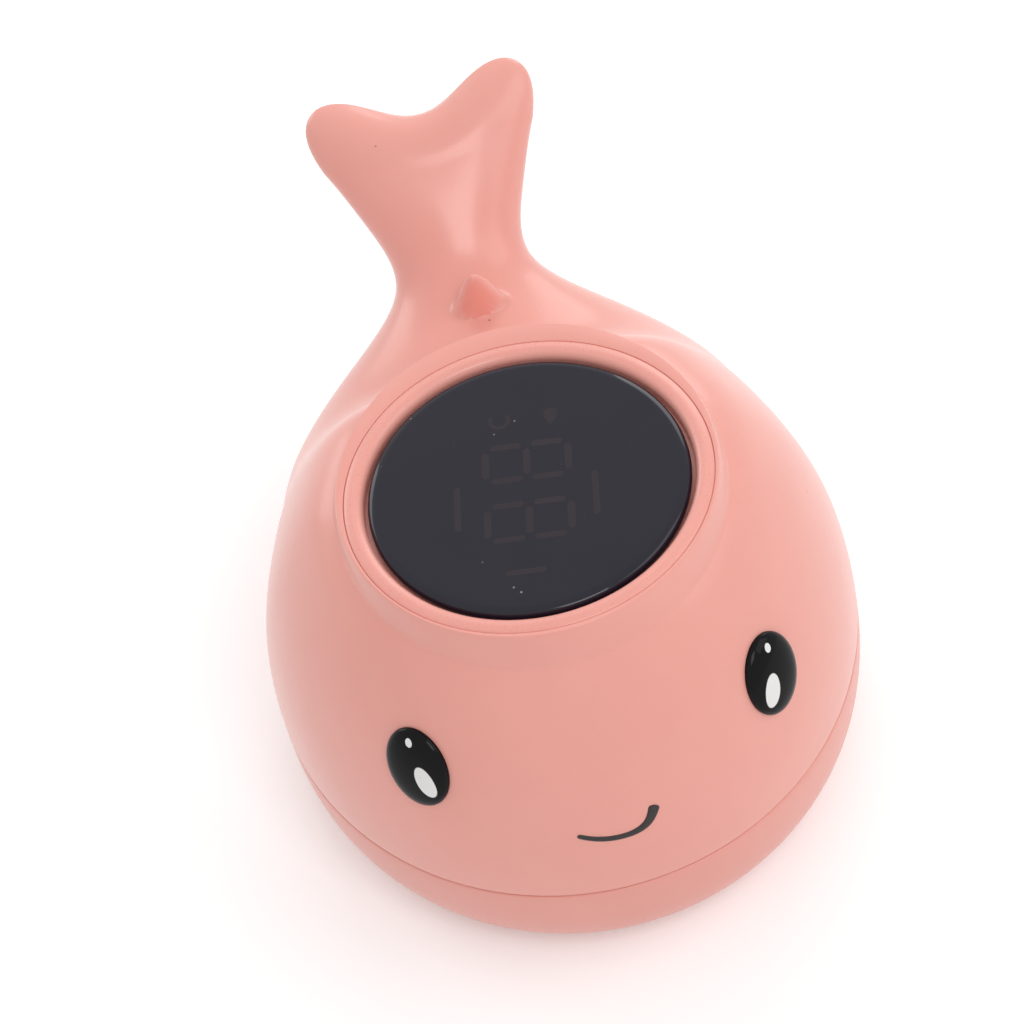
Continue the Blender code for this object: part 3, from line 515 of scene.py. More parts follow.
def fin(points):
    """The grid drawn together round the fin's axis and lifted into a small cone, wider than long.

    With q the distance from the axis as a share of the cone's half sizes, height = top - fall q,
    and the tip is rounded by using the square root of q^2 + tip^2."""
    x, y, z = points.T
    dx, dy = x - FIN_X, y - FIN_Y
    r = np.hypot(dx, dy)
    near = (r < FIN_REACH) & (z > FIN_BELOW)
    draw = np.where(near, np.clip(r / FIN_REACH, 0.02, 1) ** FIN_DRAW, 1)
    moved = points.copy()
    moved[:, 0], moved[:, 1] = FIN_X + dx * draw, FIN_Y + dy * draw
    moved[near, 2] = body_height(moved[near, 0], moved[near, 1])
    q = np.hypot((moved[:, 0] - FIN_X) / FIN_WIDE, (moved[:, 1] - FIN_Y) / FIN_LONG)
    cone = FIN_TOP - FIN_FALL * (np.sqrt(q ** 2 + FIN_TIP ** 2) - FIN_TIP)
    lifted = -soft_low(-moved[:, 2], -cone, FIN_FOOT)
    moved[near, 2] = lifted[near]
    return moved


grid, open_rows = shell_grid(UPPER_EDGE + EDGE_LIFT)
print("upper grid:", grid.shape[:2], "with", open_rows, "rows before the stern")

# %% [markdown]
# ## Deck, collar and seat
#
# The collar is the low oval bank that carries the display's ring. The grid of ribs would cross
# it at a slant and show steps in the gloss, so the grid gets a gap there. Rings of points, like
# the rings on a pond, fill it from the edge of the gap to the collar's lip, and go on over the
# deck and down into the round seat.

# %% Window in the grid, and rings from it to the seat
WINDOW_FRONT = COLLAR_MIDDLE - COLLAR_Y - 3.2
WINDOW_BACK = COLLAR_MIDDLE + COLLAR_Y + 1.5
DECK_END = 20.0  # behind this the tail rises past the deck's height
SEAT_R = 21.45
SEAT_FLOOR = 47.4
RINGS = 46
WINDOW_SIDE = int(COLUMNS * 0.245)  # columns left on each side of the window
BEND_BONUS = 1.5  # millimetres of extra length for each radian of bend


def window_of(points):
    """First and last row and column of the part of the grid that the rings replace."""
    middle = points[:, COLUMNS // 2, 1]
    first = int(np.argmin(np.abs(points[:open_rows, COLUMNS // 2, 1] - WINDOW_FRONT)))
    last = first + int(np.argmax(middle[first:] > WINDOW_BACK))
    return first, last, WINDOW_SIDE, COLUMNS - WINDOW_SIDE


def even_angles(angle, reach=25):
    """Angles once round a loop, each step averaged over its neighbours so that none runs back."""
    step = np.angle(np.exp(1j * (np.roll(angle, -1) - angle)))
    near = np.mean([np.roll(step, k) for k in range(-reach, reach + 1)], axis=0)
    even = angle[0] + np.concatenate([[0], np.cumsum(near)[:-1]])
    return even + np.angle(np.exp(1j * (angle - even))).mean()


def deck_rings(rim):
    """Rings from the rim of the window in to the seat, evenly spaced along the bent surface.

    On each line from the rim to the collar's lip the height map is sampled finely, the length
    along it is summed with a bonus where it bends, and the rings divide that sum evenly."""
    angle = np.arctan2(rim[:, 1] - COLLAR_MIDDLE, rim[:, 0])
    goal = even_angles(angle)
    turn = np.angle(np.exp(1j * (angle - goal)))
    reach = np.hypot(rim[:, 0], rim[:, 1] - COLLAR_MIDDLE)
    lip = collar_reach(goal)

    def placed(r, share):
        """Points at a radius: the direction turns from the rim's own to the even one."""
        a = goal + turn * (1 - share)
        x, y = r * np.cos(a), COLLAR_MIDDLE + r * np.sin(a)
        return np.stack([x, y, deck_height(x.ravel(), y.ravel()).reshape(x.shape)], -1)

    share = np.linspace(0, 1, 300)[:, None]
    r = reach + (lip - reach) * share
    z = placed(r, share)[..., 2].T
    r = r.T
    dr, dz = np.diff(r, axis=1), np.diff(z, axis=1)
    bend = np.abs(np.diff(np.arctan2(dz, -dr), axis=1, append=0))
    bend[:, -1] = 0
    steps = np.cumsum(np.hypot(dr, dz) + BEND_BONUS * bend, axis=1)
    run = np.concatenate([0 * reach[:, None], steps], axis=1)
    lane = 1000.0 * np.arange(len(rim))[:, None]  # keeps the lines apart in one interpolation
    wanted = run[:, -1:] * np.linspace(0, 1, RINGS)[None, 1:]
    r = np.interp((wanted + lane).ravel(), (run + lane).ravel(), r.ravel()).reshape(wanted.shape).T
    return placed(r, (reach - r) / (reach - lip))


def seat_rings(lip):
    """From the lip of the collar over the flat deck, round the seat's edge and down to its floor."""
    angle = np.arctan2(lip[:, 1] - DISPLAY_Y, lip[:, 0])
    rows = []
    for more, height in ((0.08, 0), (0.03, -0.03), (0, -0.1), (0, -0.8), (0, None)):
        radius = SEAT_R + more
        z = np.full(len(lip), SEAT_FLOOR) if height is None else lip[:, 2] + height
        rows.append(np.column_stack([radius * np.cos(angle), DISPLAY_Y + radius * np.sin(angle), z]))
    return np.array(rows)


print("window in the grid, rows and columns:", window_of(grid))

# %% [markdown]
# ## Closing the upper skin
#
# Grid, rings, a small rounded lip at the parting edge and a flat underside share their points, so
# the skin is one closed body. Separate pieces could be joined, but each joint would show in the
# gloss. At the end of the flukes each point of the underside meets the one straight above it.

# %% Upper skin as one closed body
LIP_STEPS = ((0.03, 0.45), (0.12, 0.8), (0.3, 1.0))  # inset, and share of the edge's lift


def edge_frame(loop):
    """Level direction pointing inward at each point of a loop: a quarter turn from its run."""
    along = np.roll(loop, -1, axis=0) - np.roll(loop, 1, axis=0)
    inward = np.stack([-along[:, 1], along[:, 0], 0 * along[:, 0]], 1)
    inward /= np.linalg.norm(inward, axis=1)[:, None]
    middle = loop.mean(axis=0)
    return inward * np.sign(((middle - loop) * inward).sum(axis=1).mean())


def closed_tip(ring):
    """Faces that close the last flat ring, each joining the underside to the top straight above it."""
    quarter = len(ring) // 4
    under = np.roll(ring, quarter)[:2 * quarter + 1]
    over = np.roll(ring, -quarter)[:2 * quarter + 1][::-1]
    faces = np.stack([under[1:-2], under[2:-1], over[2:-1], over[1:-2]], 1).tolist()
    return faces + [[under[0], under[1], over[1]], [under[-1], over[-2], under[-2]]]


def upper_body(name):
    """The closed outer body: rib grid, deck rings, seat, rounded parting lip and flat underside."""
    points, count = grid.copy(), COLUMNS + 1
    rows = len(points)
    points[..., 2] = np.where(points[..., 1] < DECK_END, decked(points[..., 2]), points[..., 2])
    index = np.arange(rows * count).reshape(rows, count)
    index[0] = index[0, 0]
    index[open_rows - 1:, -1] = index[open_rows - 1:, 0]
    first, last, left, right_side = window_of(points)
    keep = np.ones((rows - 1, COLUMNS), bool)
    keep[first:last, left:right_side] = False
    faces = strip_faces(index)[keep.ravel()].tolist()
    rim = np.concatenate([index[first, left:right_side], index[first:last, right_side],
                          index[last, right_side:left:-1], index[last:first:-1, left]])
    flat = fin(points.reshape(-1, 3))
    rings = deck_rings(flat[rim])
    seat = seat_rings(rings[-1])
    inner = np.concatenate([rings, seat])
    start = len(flat)
    ring_index = np.vstack([rim, start + np.arange(inner[..., 0].size).reshape(len(inner), -1)])
    faces += strip_faces(ring_index, True).tolist() + [ring_index[-1].tolist()]
    faces += closed_tip(index[-1, :-1])
    loop = np.concatenate([index[:open_rows, 0], index[open_rows - 2:0:-1, -1]])
    edge = flat[loop]
    inward = edge_frame(edge)
    lip = [edge + inward * inset - np.array([0, 0, EDGE_LIFT * share]) for inset, share in LIP_STEPS]
    lip_start = start + inner[..., 0].size
    lip_index = np.vstack([loop, lip_start + np.arange(len(lip) * len(loop)).reshape(len(lip), -1)])
    faces += strip_faces(lip_index, True).tolist() + [lip_index[-1].tolist()]
    return surface(name, np.vstack([flat, inner.reshape(-1, 3), np.vstack(lip)]), faces)


upper = upper_body("upper_skin")
print("upper_skin before its cuts:", len(upper.data.polygons), "faces,", open_edges(upper), "open edges")

# %% [markdown]
# ## Cutting with prisms
#
# Holes, pockets and posts are upright prisms, and a Boolean modifier cuts or joins them. Its
# exact solver is slow but careful, and fits here because every skin and every cutter is a closed
# body. Each cut is applied at once, and its cutter is thrown away.

# %% Cutting with prisms
def cut(obj, operation, *others):
    """Joins or cuts with each of the other objects in turn, then removes them."""
    for other in others:
        step = obj.modifiers.new(other.name, "BOOLEAN")
        step.operation, step.solver, step.object = operation, "EXACT", other
        graph = bpy.context.evaluated_depsgraph_get()
        mesh = bpy.data.meshes.new_from_object(obj.evaluated_get(graph))
        obj.modifiers.clear()
        obj.data = mesh
        bpy.data.objects.remove(other, do_unlink=True)
    return obj


def prisms(name, rows):
    """Upright prisms in one mesh, each row being (outline, low, high)."""
    points, faces, start = [], [], 0
    for outline, low, high in rows:
        n = len(outline)
        for z in (low, high):
            points.append(np.column_stack([outline, np.full(n, z)]))
        index = start + np.arange(2 * n).reshape(2, n)
        faces += strip_faces(index, True).tolist() + [index[0].tolist(), index[1].tolist()]
        start += 2 * n
    return surface(name, np.vstack(points), faces)


def discs(name, rows, around=64):
    """Upright cylinders in one mesh, each row being (radius, low, high, x, y)."""
    a = np.linspace(0, 2 * np.pi, around, endpoint=False)
    circle = np.stack([np.cos(a), np.sin(a)], 1)
    return prisms(name, [(circle * radius + (x, y), low, high) for radius, low, high, x, y in rows])


# %% [markdown]
# ## Inside of the upper shell
#
# A float has to be light, so the real shell is a thin even wall. The Solidify modifier could draw
# it, but in the thin tail its wall would cross itself, so the hollow is a body of its own: the
# ribs drawn in by the wall, and flat under the deck. Three posts take the screws of the board. The
# display's opening and the pilot holes of the screws are cut last.

# %% Hollow, posts and openings of the upper shell
CEILING = 45.5
HOLE_R, SCREW_PILOT = 19.6, 1.15
POST_R, POST_RADIUS, POST_BOTTOM, POST_TOP = 21.4, 2.0, 38.1, 45.7


def cavity(name):
    """The space inside the shell: the ribs drawn in by the wall, flat under the deck."""
    around = np.linspace(0, 2 * np.pi, 72, endpoint=False)
    egg = egg_rows(np.linspace(0.02, np.pi / 2, 24)[:-1], WALL)
    back = body_rows(np.linspace(0, 4.7, 40), WALL)
    points = rib_points(around[None], *np.hstack([egg, back])[:, :, None])
    points[..., 2] = np.minimum(points[..., 2], CEILING)
    return stacked(name, points)


post_places = [(POST_R * np.cos(t), DISPLAY_Y + POST_R * np.sin(t)) for t in np.radians([90, 210, 330])]
cut(upper, "DIFFERENCE", cavity("cavity"))
cut(upper, "UNION", discs("posts", [(POST_RADIUS, POST_BOTTOM, POST_TOP, x, y) for x, y in post_places]))
holes = [(HOLE_R, 40, 60, 0, DISPLAY_Y)] + [(SCREW_PILOT, 30, 43.6, x, y) for x, y in post_places]
cut(upper, "DIFFERENCE", discs("openings", holes, 128))
smooth(upper.data, CUT_SHARP)
show(upper, "pink_shell", "upper_shell")

# %% [markdown]
# ## The lower shell
#
# The lower shell is a deep bowl with a flat base. Its rim has the same outline as the upper shell,
# with a small rounded lip, so that the two meet in a fine even groove. A stack of rings suits it,
# because every ring is the same rim drawn in. Going down, the outline shrinks along a
# superellipse: share = base + (1 - base) cos^(2/p) t and depth = sin^(2/p) t.

# %% Bowl of the lower shell
LOWER_EDGE = PARTING_Z - HALF_GAP
FLOOR_THICK = 2.2


def rim_loop(height):
    """Points where the skin crosses a height, once round from the nose."""
    points, count = shell_grid(height)
    return np.concatenate([points[:count, 0], points[count - 2:0:-1, -1]])


def scaled(loop, share, height):
    """The rim drawn in and set at a height: x = share x, y = widest + share (y - widest)."""
    ring = loop.copy()
    ring[:, 0] *= share
    ring[:, 1] = WIDEST_Y + (ring[:, 1] - WIDEST_Y) * share
    ring[:, 2] = height
    return ring


rim = rim_loop(PARTING_Z)
rim_in = edge_frame(rim)
turns = np.linspace(np.pi / 2, 0, 34)
shares = BASE_SHARE + (1 - BASE_SHARE) * np.cos(turns) ** (2 / BOWL_POWER)
heights = (LOWER_EDGE - EDGE_LIFT) * (1 - np.sin(turns) ** (2 / BOWL_POWER))
bowl = [scaled(rim, s, h) for s, h in zip(shares, heights)]
for inset, share in LIP_STEPS:
    bowl.append(rim * (1, 1, 0) + rim_in * inset + np.array([0, 0, LOWER_EDGE - EDGE_LIFT * (1 - share)]))
for inset, height in ((3.6, LOWER_EDGE), (3.6, PARTING_Z + 2), (4.9, PARTING_Z + 2), (4.9, 13.0)):
    bowl.append(rim * (1, 1, 0) + rim_in * inset + np.array([0, 0, height]))
for height, share in ((10.0, 0.905), (6.5, 0.84), (4.0, 0.76), (FLOOR_THICK, 0.62)):
    bowl.append(scaled(rim, share, height))
lower = stacked("lower_skin", bowl)
print("bowl rings:", len(bowl), "of", len(rim), "points")

# %% [markdown]
# ## Sockets of the base
#
# Under the base are the recess of the battery cover with the coin cell's bay above it, the hole
# of the probe and the holes of the two contacts. Each has a collar of plastic inside, a boss. It
# is joined on first, so that the cut leaves a wall all round. Each row is a radius, the heights
# of bottom and top, and the middle.

# %% Sockets, bay and holes of the base
COVER_Y = DISPLAY_Y + 6.0
PROBE_Y = DISPLAY_Y - 17.0
PIN_X, PIN_Y = 8.0, DISPLAY_Y - 15.0
SCREW_R = 13.6
RECESS_R, RECESS_Z = 15.8, 2.4
BAY_R, BAY_Z = 11.0, 9.4

bosses = [(RECESS_R + 1.6, 1, 4.2, 0, COVER_Y), (BAY_R + 1.5, 1, BAY_Z + 1.4, 0, COVER_Y),
          (3.3, 1, 4.2, 0, PROBE_Y)]
bosses += [(2.3, 1, 9.2, s * SCREW_R, COVER_Y) for s in (-1, 1)]
bosses += [(2.1, 1, 4.2, s * PIN_X, PIN_Y) for s in (-1, 1)]
for i, row in enumerate(bosses):
    cut(lower, "UNION", discs(f"boss_{i}", [row]))
wells = [(RECESS_R, -2, RECESS_Z, 0, COVER_Y), (3.0, -2, 1.3, 0, PROBE_Y)]
wells += [(1.9, -2, 1.3, s * PIN_X, PIN_Y) for s in (-1, 1)]
deep = [(BAY_R, -1, BAY_Z, 0, COVER_Y), (2.0, -1, 8, 0, PROBE_Y)]
deep += [(1.1, -1, 8, s * PIN_X, PIN_Y) for s in (-1, 1)]
deep += [(SCREW_PILOT, -1, 8.4, s * SCREW_R, COVER_Y) for s in (-1, 1)]
through = [(0.9, 8, 12, s * 6.0, COVER_Y + 6) for s in (-1, 1)]
cut(lower, "DIFFERENCE", discs("wells", wells, 96), discs("deep", deep), discs("through", through, 24))
smooth(lower.data, CUT_SHARP)
show(lower, "pink_base", "lower_shell")

# %% [markdown]
# ## Ring and window
#
# A pink ring sits in the deck and holds a disc of dark glossy plastic with a softly rounded edge.
# Both are round, as if made on a lathe. The Screw modifier could spin a drawn curve. Carrying the
# profile round as one array of points gives the closed mesh at once, with no seam to weld.

# %% Turned pieces
def turned(name, profile, centre=(0, 0), around=96, sharp=40):
    """A profile of (radius, height) pairs carried round an upright axis: x = r cos a, y = r sin a, z = h.

    A profile that starts and ends on the axis gives a closed body with a pole at each end, and one
    that stays off the axis is joined end to start into a ring."""
    profile = np.array(profile, float)
    if profile[:, 0].min() > 0:
        profile = np.vstack([profile, profile[:1]])
    a = np.linspace(0, 2 * np.pi, around, endpoint=False)
    r, h = profile[:, :1], profile[:, 1:]
    x, y = centre[0] + r * np.cos(a), centre[1] + r * np.sin(a)
    points = np.stack([x, y, h + 0 * a], -1)
    index = np.arange(points[..., 0].size).reshape(len(profile), around)
    return surface(name, points.reshape(-1, 3), strip_faces(index, True).tolist(), sharp)


def rounded(corners, radius, steps=5):
    """A profile with each inner corner replaced by a small arc: a curve pulled toward the corner.

    Point on the arc = (1-t)^2 A + 2 t (1-t) corner + t^2 B, with A and B the radius away from it."""
    corners = np.array(corners, float)
    t = np.linspace(0, 1, steps)[:, None]
    made = [corners[:1]]
    for before, at, after in zip(corners, corners[1:], corners[2:]):
        back, ahead = before - at, after - at
        reach = min(radius, 0.45 * np.linalg.norm(back), 0.45 * np.linalg.norm(ahead))
        a, b = at + back / np.linalg.norm(back) * reach, at + ahead / np.linalg.norm(ahead) * reach
        made.append((1 - t) ** 2 * a + 2 * t * (1 - t) * at + t ** 2 * b)
    made.append(corners[-1:])
    return np.vstack(made)


# %% Ring and window
BEZEL_OUT, BEZEL_IN, SKIRT_OUT, STACK_R = 21.425, 19.22, 19.3, 17.5
ring_top = rounded([(BEZEL_OUT, 47.9), (BEZEL_OUT, 49.92), (21.1, 50.1), (20.4, 50.3), (19.6, 50.0),
                    (BEZEL_IN, 49.4), (BEZEL_IN, 48.0)], 0.4, 6)
ring_under = [(17.0, 48.0), (17.0, 47.0), (STACK_R + 0.3, 47.0), (STACK_R + 0.3, 41.0), (SKIRT_OUT, 41.0),
              (SKIRT_OUT, 47.7), (BEZEL_OUT, 47.7)]
bezel = turned("bezel_ring", np.vstack([ring_top, ring_under]), (0, DISPLAY_Y), 192)
show(bezel, "pink_bezel", "display_bezel")

WINDOW_R, WINDOW_TOP = 18.75, 49.85
window_side = rounded([(18.2, 48.3), (WINDOW_R - 0.1, 48.4), (WINDOW_R, 49.1), (WINDOW_R - 0.25, 49.6),
                       (WINDOW_R - 0.95, WINDOW_TOP), (15.0, WINDOW_TOP)], 0.5, 7)
window = turned("window_glass", np.vstack([[(0, 48.3)], window_side, [(0, WINDOW_TOP)]]),
                (0, DISPLAY_Y), 192)
show(window, "smoked_window", "display_window")

# %% [markdown]
# ## Unlit figures
#
# The display is off, yet the bars of two figures, a small C, a drop and three level marks show
# faintly through the dark window. Each is a very thin plate with rounded ends, set flush in the
# top of the glass. The figures read toward +Y and their tops point toward -X.

# %% Unlit figures
DIGIT_TALL, DIGIT_WIDE, STROKE = 9.6, 5.0, 0.85
FIGURE_TOP, FIGURE_DEEP = WINDOW_TOP + 0.004, 0.05
FIGURE_TURN = np.radians(10.4)  # the display sits a little askew in the whale


def bar_outline(u0, v0, u1, v1, wide=STROKE):
    """A bar with pointed ends, from one place to another along the reading direction u and height v.

    Its six corners lie half the width to either side, and half the width ahead at each tip."""
    start, end = np.array([u0, v0]), np.array([u1, v1])
    ahead = (end - start) / max(np.linalg.norm(end - start), 1e-6)
    side = np.array([-ahead[1], ahead[0]])
    h = wide / 2
    corners = [start - ahead * h * 0.3 + side * h, end + ahead * h * 0.3 + side * h, end + ahead * h,
               end + ahead * h * 0.3 - side * h, start - ahead * h * 0.3 - side * h, start - ahead * h]
    return np.array(corners)


def on_display(outline):
    """An outline in (u, v) turned into its place on the display."""
    u = outline[:, 0] * np.cos(FIGURE_TURN) + outline[:, 1] * np.sin(FIGURE_TURN)
    v = outline[:, 1] * np.cos(FIGURE_TURN) - outline[:, 0] * np.sin(FIGURE_TURN)
    return np.stack([-v, DISPLAY_Y + u], 1)


def figure_outlines():
    """The bars of two eights, a ring open to one side for the C, a drop and the level marks."""
    made = []
    tall, wide, gap = DIGIT_TALL / 2, DIGIT_WIDE / 2, 0.95
    for middle in (-5.5, 3.2):
        ends = [(-wide + gap, v, wide - gap, v) for v in (tall, 0, -tall)]
        ends += [(u, v, u, v + tall - 2 * gap) for u in (-wide, wide) for v in (gap, gap - tall)]
        made += [bar_outline(middle + a, b, middle + c, d) for a, b, c, d in ends]
    made += [bar_outline(-5.6, v, 0.2, v, 0.75) for v in (8.2, -7.7)]
    made.append(bar_outline(-12.8, -1.3, -12.8, 2.7, 0.75))
    t = np.radians(np.linspace(50, 310, 22))
    ring = np.stack([np.cos(t), np.sin(t)], 1)
    made.append(np.array([9.8, 3.0]) + np.vstack([ring * 1.3, ring[::-1] * 0.85]))
    t = np.linspace(0, 2 * np.pi, 26, endpoint=False)
    drop = np.stack([-1.3 * np.cos(t), 1.1 * np.sin(t) * np.sin(t / 2) ** 1.2], 1)
    made.append(np.array([9.5, -3.0]) + drop)
    return made


plates = [(on_display(o), FIGURE_TOP - FIGURE_DEEP, FIGURE_TOP) for o in figure_outlines()]
figures = show(prisms("window_figures", plates), "smoked_window")

# %% [markdown]
# ## Places on the face
#
# Eyes and smile are stuck on the curved face. The Shrinkwrap modifier could lay them on it, but
# the face is the egg of a formula, so their points are laid out flat in front of it and moved in
# until they meet the formula, which is exact.

# %% Places on the face
STEP = 1e-4  # a tiny distance in millimetres, over which a slope is measured


def face_error(p):
    """Below zero inside the egg of the face."""
    k = ((np.abs(p[..., 0]) / HALF_WIDTH) ** FULLNESS
         + (np.abs(p[..., 2] - PARTING_Z) / DOME_HEIGHT) ** FULLNESS) ** (2 / FULLNESS)
    return k + ((p[..., 1] - WIDEST_Y) / NOSE_LENGTH) ** 2 - 1


def face_normal(p):
    """Outward direction of the face: the slope of the error, made one long."""
    rise = [face_error(p + STEP * axis) - face_error(p - STEP * axis) for axis in np.eye(3)]
    slope = np.stack(rise, -1)
    return slope / np.linalg.norm(slope, axis=-1, keepdims=True)


def on_face(p, direction):
    """Each point moved along the direction until it lies on the face: twelve times by error / slope."""
    for _ in range(12):
        slope = (face_error(p + STEP * direction) - face_error(p - STEP * direction)) / (2 * STEP)
        p = p - (face_error(p) / slope)[..., None] * direction
    return p


nose = on_face(np.array([0.0, -90.0, PARTING_Z]), np.array([0.0, -1.0, 0.0]))
print("foremost point of the face: y =", round(float(nose[1]), 2), "mm")

# %% [markdown]
# ## Eyes
#
# Each eye is a glossy resin dome, about 8 by 10 mm, with two white glints printed on it. Half of
# a stretched sphere would stand off the curved face, so ovals are laid on the face and lifted by
# the profile of a dome. The piece's own UV map, in which one unit is 10 mm, carries the glints.

# %% Eyes
EYE_AT = np.array([20.59, DISPLAY_Y - 22.92, 34.08])
EYE_WIDE, EYE_TALL, EYE_TURN = 3.97, 4.97, -0.358
EYE_DROP = {-1: 0.0, 1: 0.6}  # the right eye sits a little lower on the face
EYE_SHARES = np.array([0.03, 0.5, 0.97, 1.0, 1.0, 0.985, 0.95, 0.88, 0.78, 0.66, 0.52, 0.36, 0.2, 0.05])
EYE_LIFTS = np.array([-0.3, -0.3, -0.3, -0.1, 0.22, 0.42, 0.62, 0.82, 0.98, 1.1, 1.19, 1.25, 1.28, 1.29])


def eye(name, side):
    """Ovals stacked out from the face, each a share of the eye's size, lifted by its step of a dome."""
    start = EYE_AT * (side, 1, 1) - np.array([0, 0, EYE_DROP[side]])
    centre = on_face(start, face_normal(start))
    out = face_normal(centre)
    flat_way = np.cross([0.0, 0.0, 1.0], out)
    flat_way /= np.linalg.norm(flat_way)
    up_way = np.cross(out, flat_way)
    turn = side * EYE_TURN
    a = np.linspace(0, 2 * np.pi, 96, endpoint=False)
    u = EYE_WIDE * EYE_SHARES[:, None] * np.cos(a)
    v = EYE_TALL * EYE_SHARES[:, None] * np.sin(a)
    level_part = (u * np.cos(turn) - v * np.sin(turn))[..., None] * flat_way
    up_part = (u * np.sin(turn) + v * np.cos(turn))[..., None] * up_way
    points = on_face(centre + level_part + up_part, out)
    points = points + face_normal(points) * EYE_LIFTS[:, None, None]
    obj = stacked(name, points, 60)
    place = np.empty(len(obj.data.vertices) * 3)
    obj.data.vertices.foreach_get("co", place)
    seen = place.reshape(-1, 3) / MM - centre
    x, y = seen @ flat_way, seen @ up_way
    flat = np.stack([x * np.cos(turn) + y * np.sin(turn), y * np.cos(turn) - x * np.sin(turn)], 1)
    corner = np.empty(len(obj.data.loops), int)
    obj.data.loops.foreach_get("vertex_index", corner)
    chart = obj.data.uv_layers.new(name="eye_chart")
    chart.data.foreach_set("uv", (flat[corner] * (side, 1) / 10 + 0.5).ravel())
    return show(obj, "eye_black", name.replace("_dome", ""))


eye_left = eye("eye_left_dome", -1)
eye_right = eye("eye_right_dome", 1)

# %% [markdown]
# ## Smile
#
# The smile is a thin line of black ink, thicker at one end. A bevelled curve has the same section
# all along and wouldn't lie on the face, so a low round section is carried along a smooth curve,
# moved on to the face and lifted by a fraction of a millimetre.

# %% Smile
SMILE_KNOTS = np.array([
    [-5.3, 26.8, 0.28],
    [-2.8, 25.8, 0.34],
    [0.4, 25.5, 0.38],
    [2.8, 26.4, 0.52],
    [4.0, 28.4, 0.70],
])
SMILE_LIFTS = np.array([-0.2, -0.2, 0.02, 0.1, 0.15, 0.17])
SMILE_SHARES = np.array([0.0, 1.0, 1.0, 0.9, 0.6, 0.0])


def smile(name):
    """A half round section carried along the curve, its width easing to a round point at each end."""
    t = np.linspace(0, len(SMILE_KNOTS) - 1, 90)
    path = np.stack([spline(np.arange(len(SMILE_KNOTS)), column, t) for column in SMILE_KNOTS.T], 1)
    ahead = np.gradient(path[:, :2], axis=0)
    ahead /= np.linalg.norm(ahead, axis=1)[:, None]
    side = np.stack([-ahead[:, 1], ahead[:, 0]], 1)
    run = np.concatenate([[0], np.cumsum(np.linalg.norm(np.diff(path[:, :2], axis=0), axis=1))])
    ends = np.minimum(run / path[0, 2], (run[-1] - run) / (0.6 * path[-1, 2]))
    width = path[:, 2] * np.sqrt(np.clip(1 - (1 - np.clip(ends, 0.0, 1)) ** 2, 0.0004, 1))
    across = np.append(-SMILE_SHARES[1:], SMILE_SHARES[:0:-1])
    lift = np.append(SMILE_LIFTS[1:], SMILE_LIFTS[:0:-1])
    flat = path[:, None, :2] + side[:, None] * (width[:, None] * across)[..., None]
    ahead_of_face = np.stack([flat[..., 0], np.full(flat.shape[:2], DISPLAY_Y - 33.0), flat[..., 1]], -1)
    points = on_face(ahead_of_face, np.array([0.0, -1.0, 0.0]))
    points = points + face_normal(points) * lift[None, :, None]
    return show(stacked(name, points, 50), "smile_black", "smile")


smile_line = smile("smile_line")

# %% [markdown]
# ## Underside
#
# The photograph doesn't show the underside, so it follows what such floats have: a round battery
# cover held by two screws, with ribs to grip it. It is turned from a profile, and the sinks of
# the screws and the ribs are cut from it as prisms.

# %% Battery cover
cover_profile = np.vstack([
    [(0, 0.55)],
    rounded([(4.0, 0.55), (12.0, 0.55), (12.15, 0.8), (12.5, 0.8), (12.65, 0.45), (RECESS_R - 0.55, 0.45),
             (RECESS_R - 0.28, 0.8), (RECESS_R - 0.28, 1.75), (BAY_R - 0.4, 1.75), (BAY_R - 0.4, 3.7)],
            0.25),
    [(0, 3.7)]])
cover = turned("cover_disc", cover_profile, (0, COVER_Y), 128)
sinks = [(1.7, -1, 1.05, s * SCREW_R, COVER_Y) for s in (-1, 1)]
shafts = [(1.2, -1, 3, s * SCREW_R, COVER_Y) for s in (-1, 1)]
grip = []
for x in np.linspace(-6, 6, 7):
    long = np.sqrt(9.5 ** 2 - x ** 2)
    outline = rounded([(x - 0.45, 0), (x - 0.45, long), (x + 0.45, long), (x + 0.45, -long),
                       (x - 0.45, -long), (x - 0.45, 0)], 0.4)[:-1]
    grip.append((outline + (0, COVER_Y), 0.2, 0.85))
cut(cover, "DIFFERENCE", discs("sinks", sinks), discs("shafts", shafts), prisms("grip", grip))
smooth(cover.data, CUT_SHARP)
show(cover, "pink_base", "battery_cover")

# %% [markdown]
# ## Small metal parts
#
# Two screws, the steel cap of the temperature probe and two contacts that wake the display in
# water are turned from profiles too. Each screw head gets a recess of two crossed bars.

# %% Screws, probe cap and water contacts
CROSS_TURN = 0.6
CROSS_ARM = [(-0.8, -0.14), (0.8, -0.14), (0.8, 0.14), (-0.8, 0.14)]
for side, word in ((-1, "left"), (1, "right")):
    x = side * SCREW_R
    head = rounded([(0, 0.2), (0.95, 0.22), (1.4, 0.5), (1.4, 0.8), (0.9, 1.05), (0.9, 7.2),
                    (0.4, 7.9)], 0.15)
    screw = turned(f"screw_{word}", np.vstack([head, [(0, 7.9)]]), (x, COVER_Y), 48)
    for turn in (CROSS_TURN, CROSS_TURN + np.pi / 2):
        along, across = np.array([np.cos(turn), np.sin(turn)]), np.array([-np.sin(turn), np.cos(turn)])
        outline = np.array([(x, COVER_Y) + a * along + b * across for a, b in CROSS_ARM])
        cut(screw, "DIFFERENCE", prisms("cross", [(outline, 0, 0.55)]))
    clean_mesh(screw.data)
    show(screw, "screw_zinc", f"cover_screw_{word}")

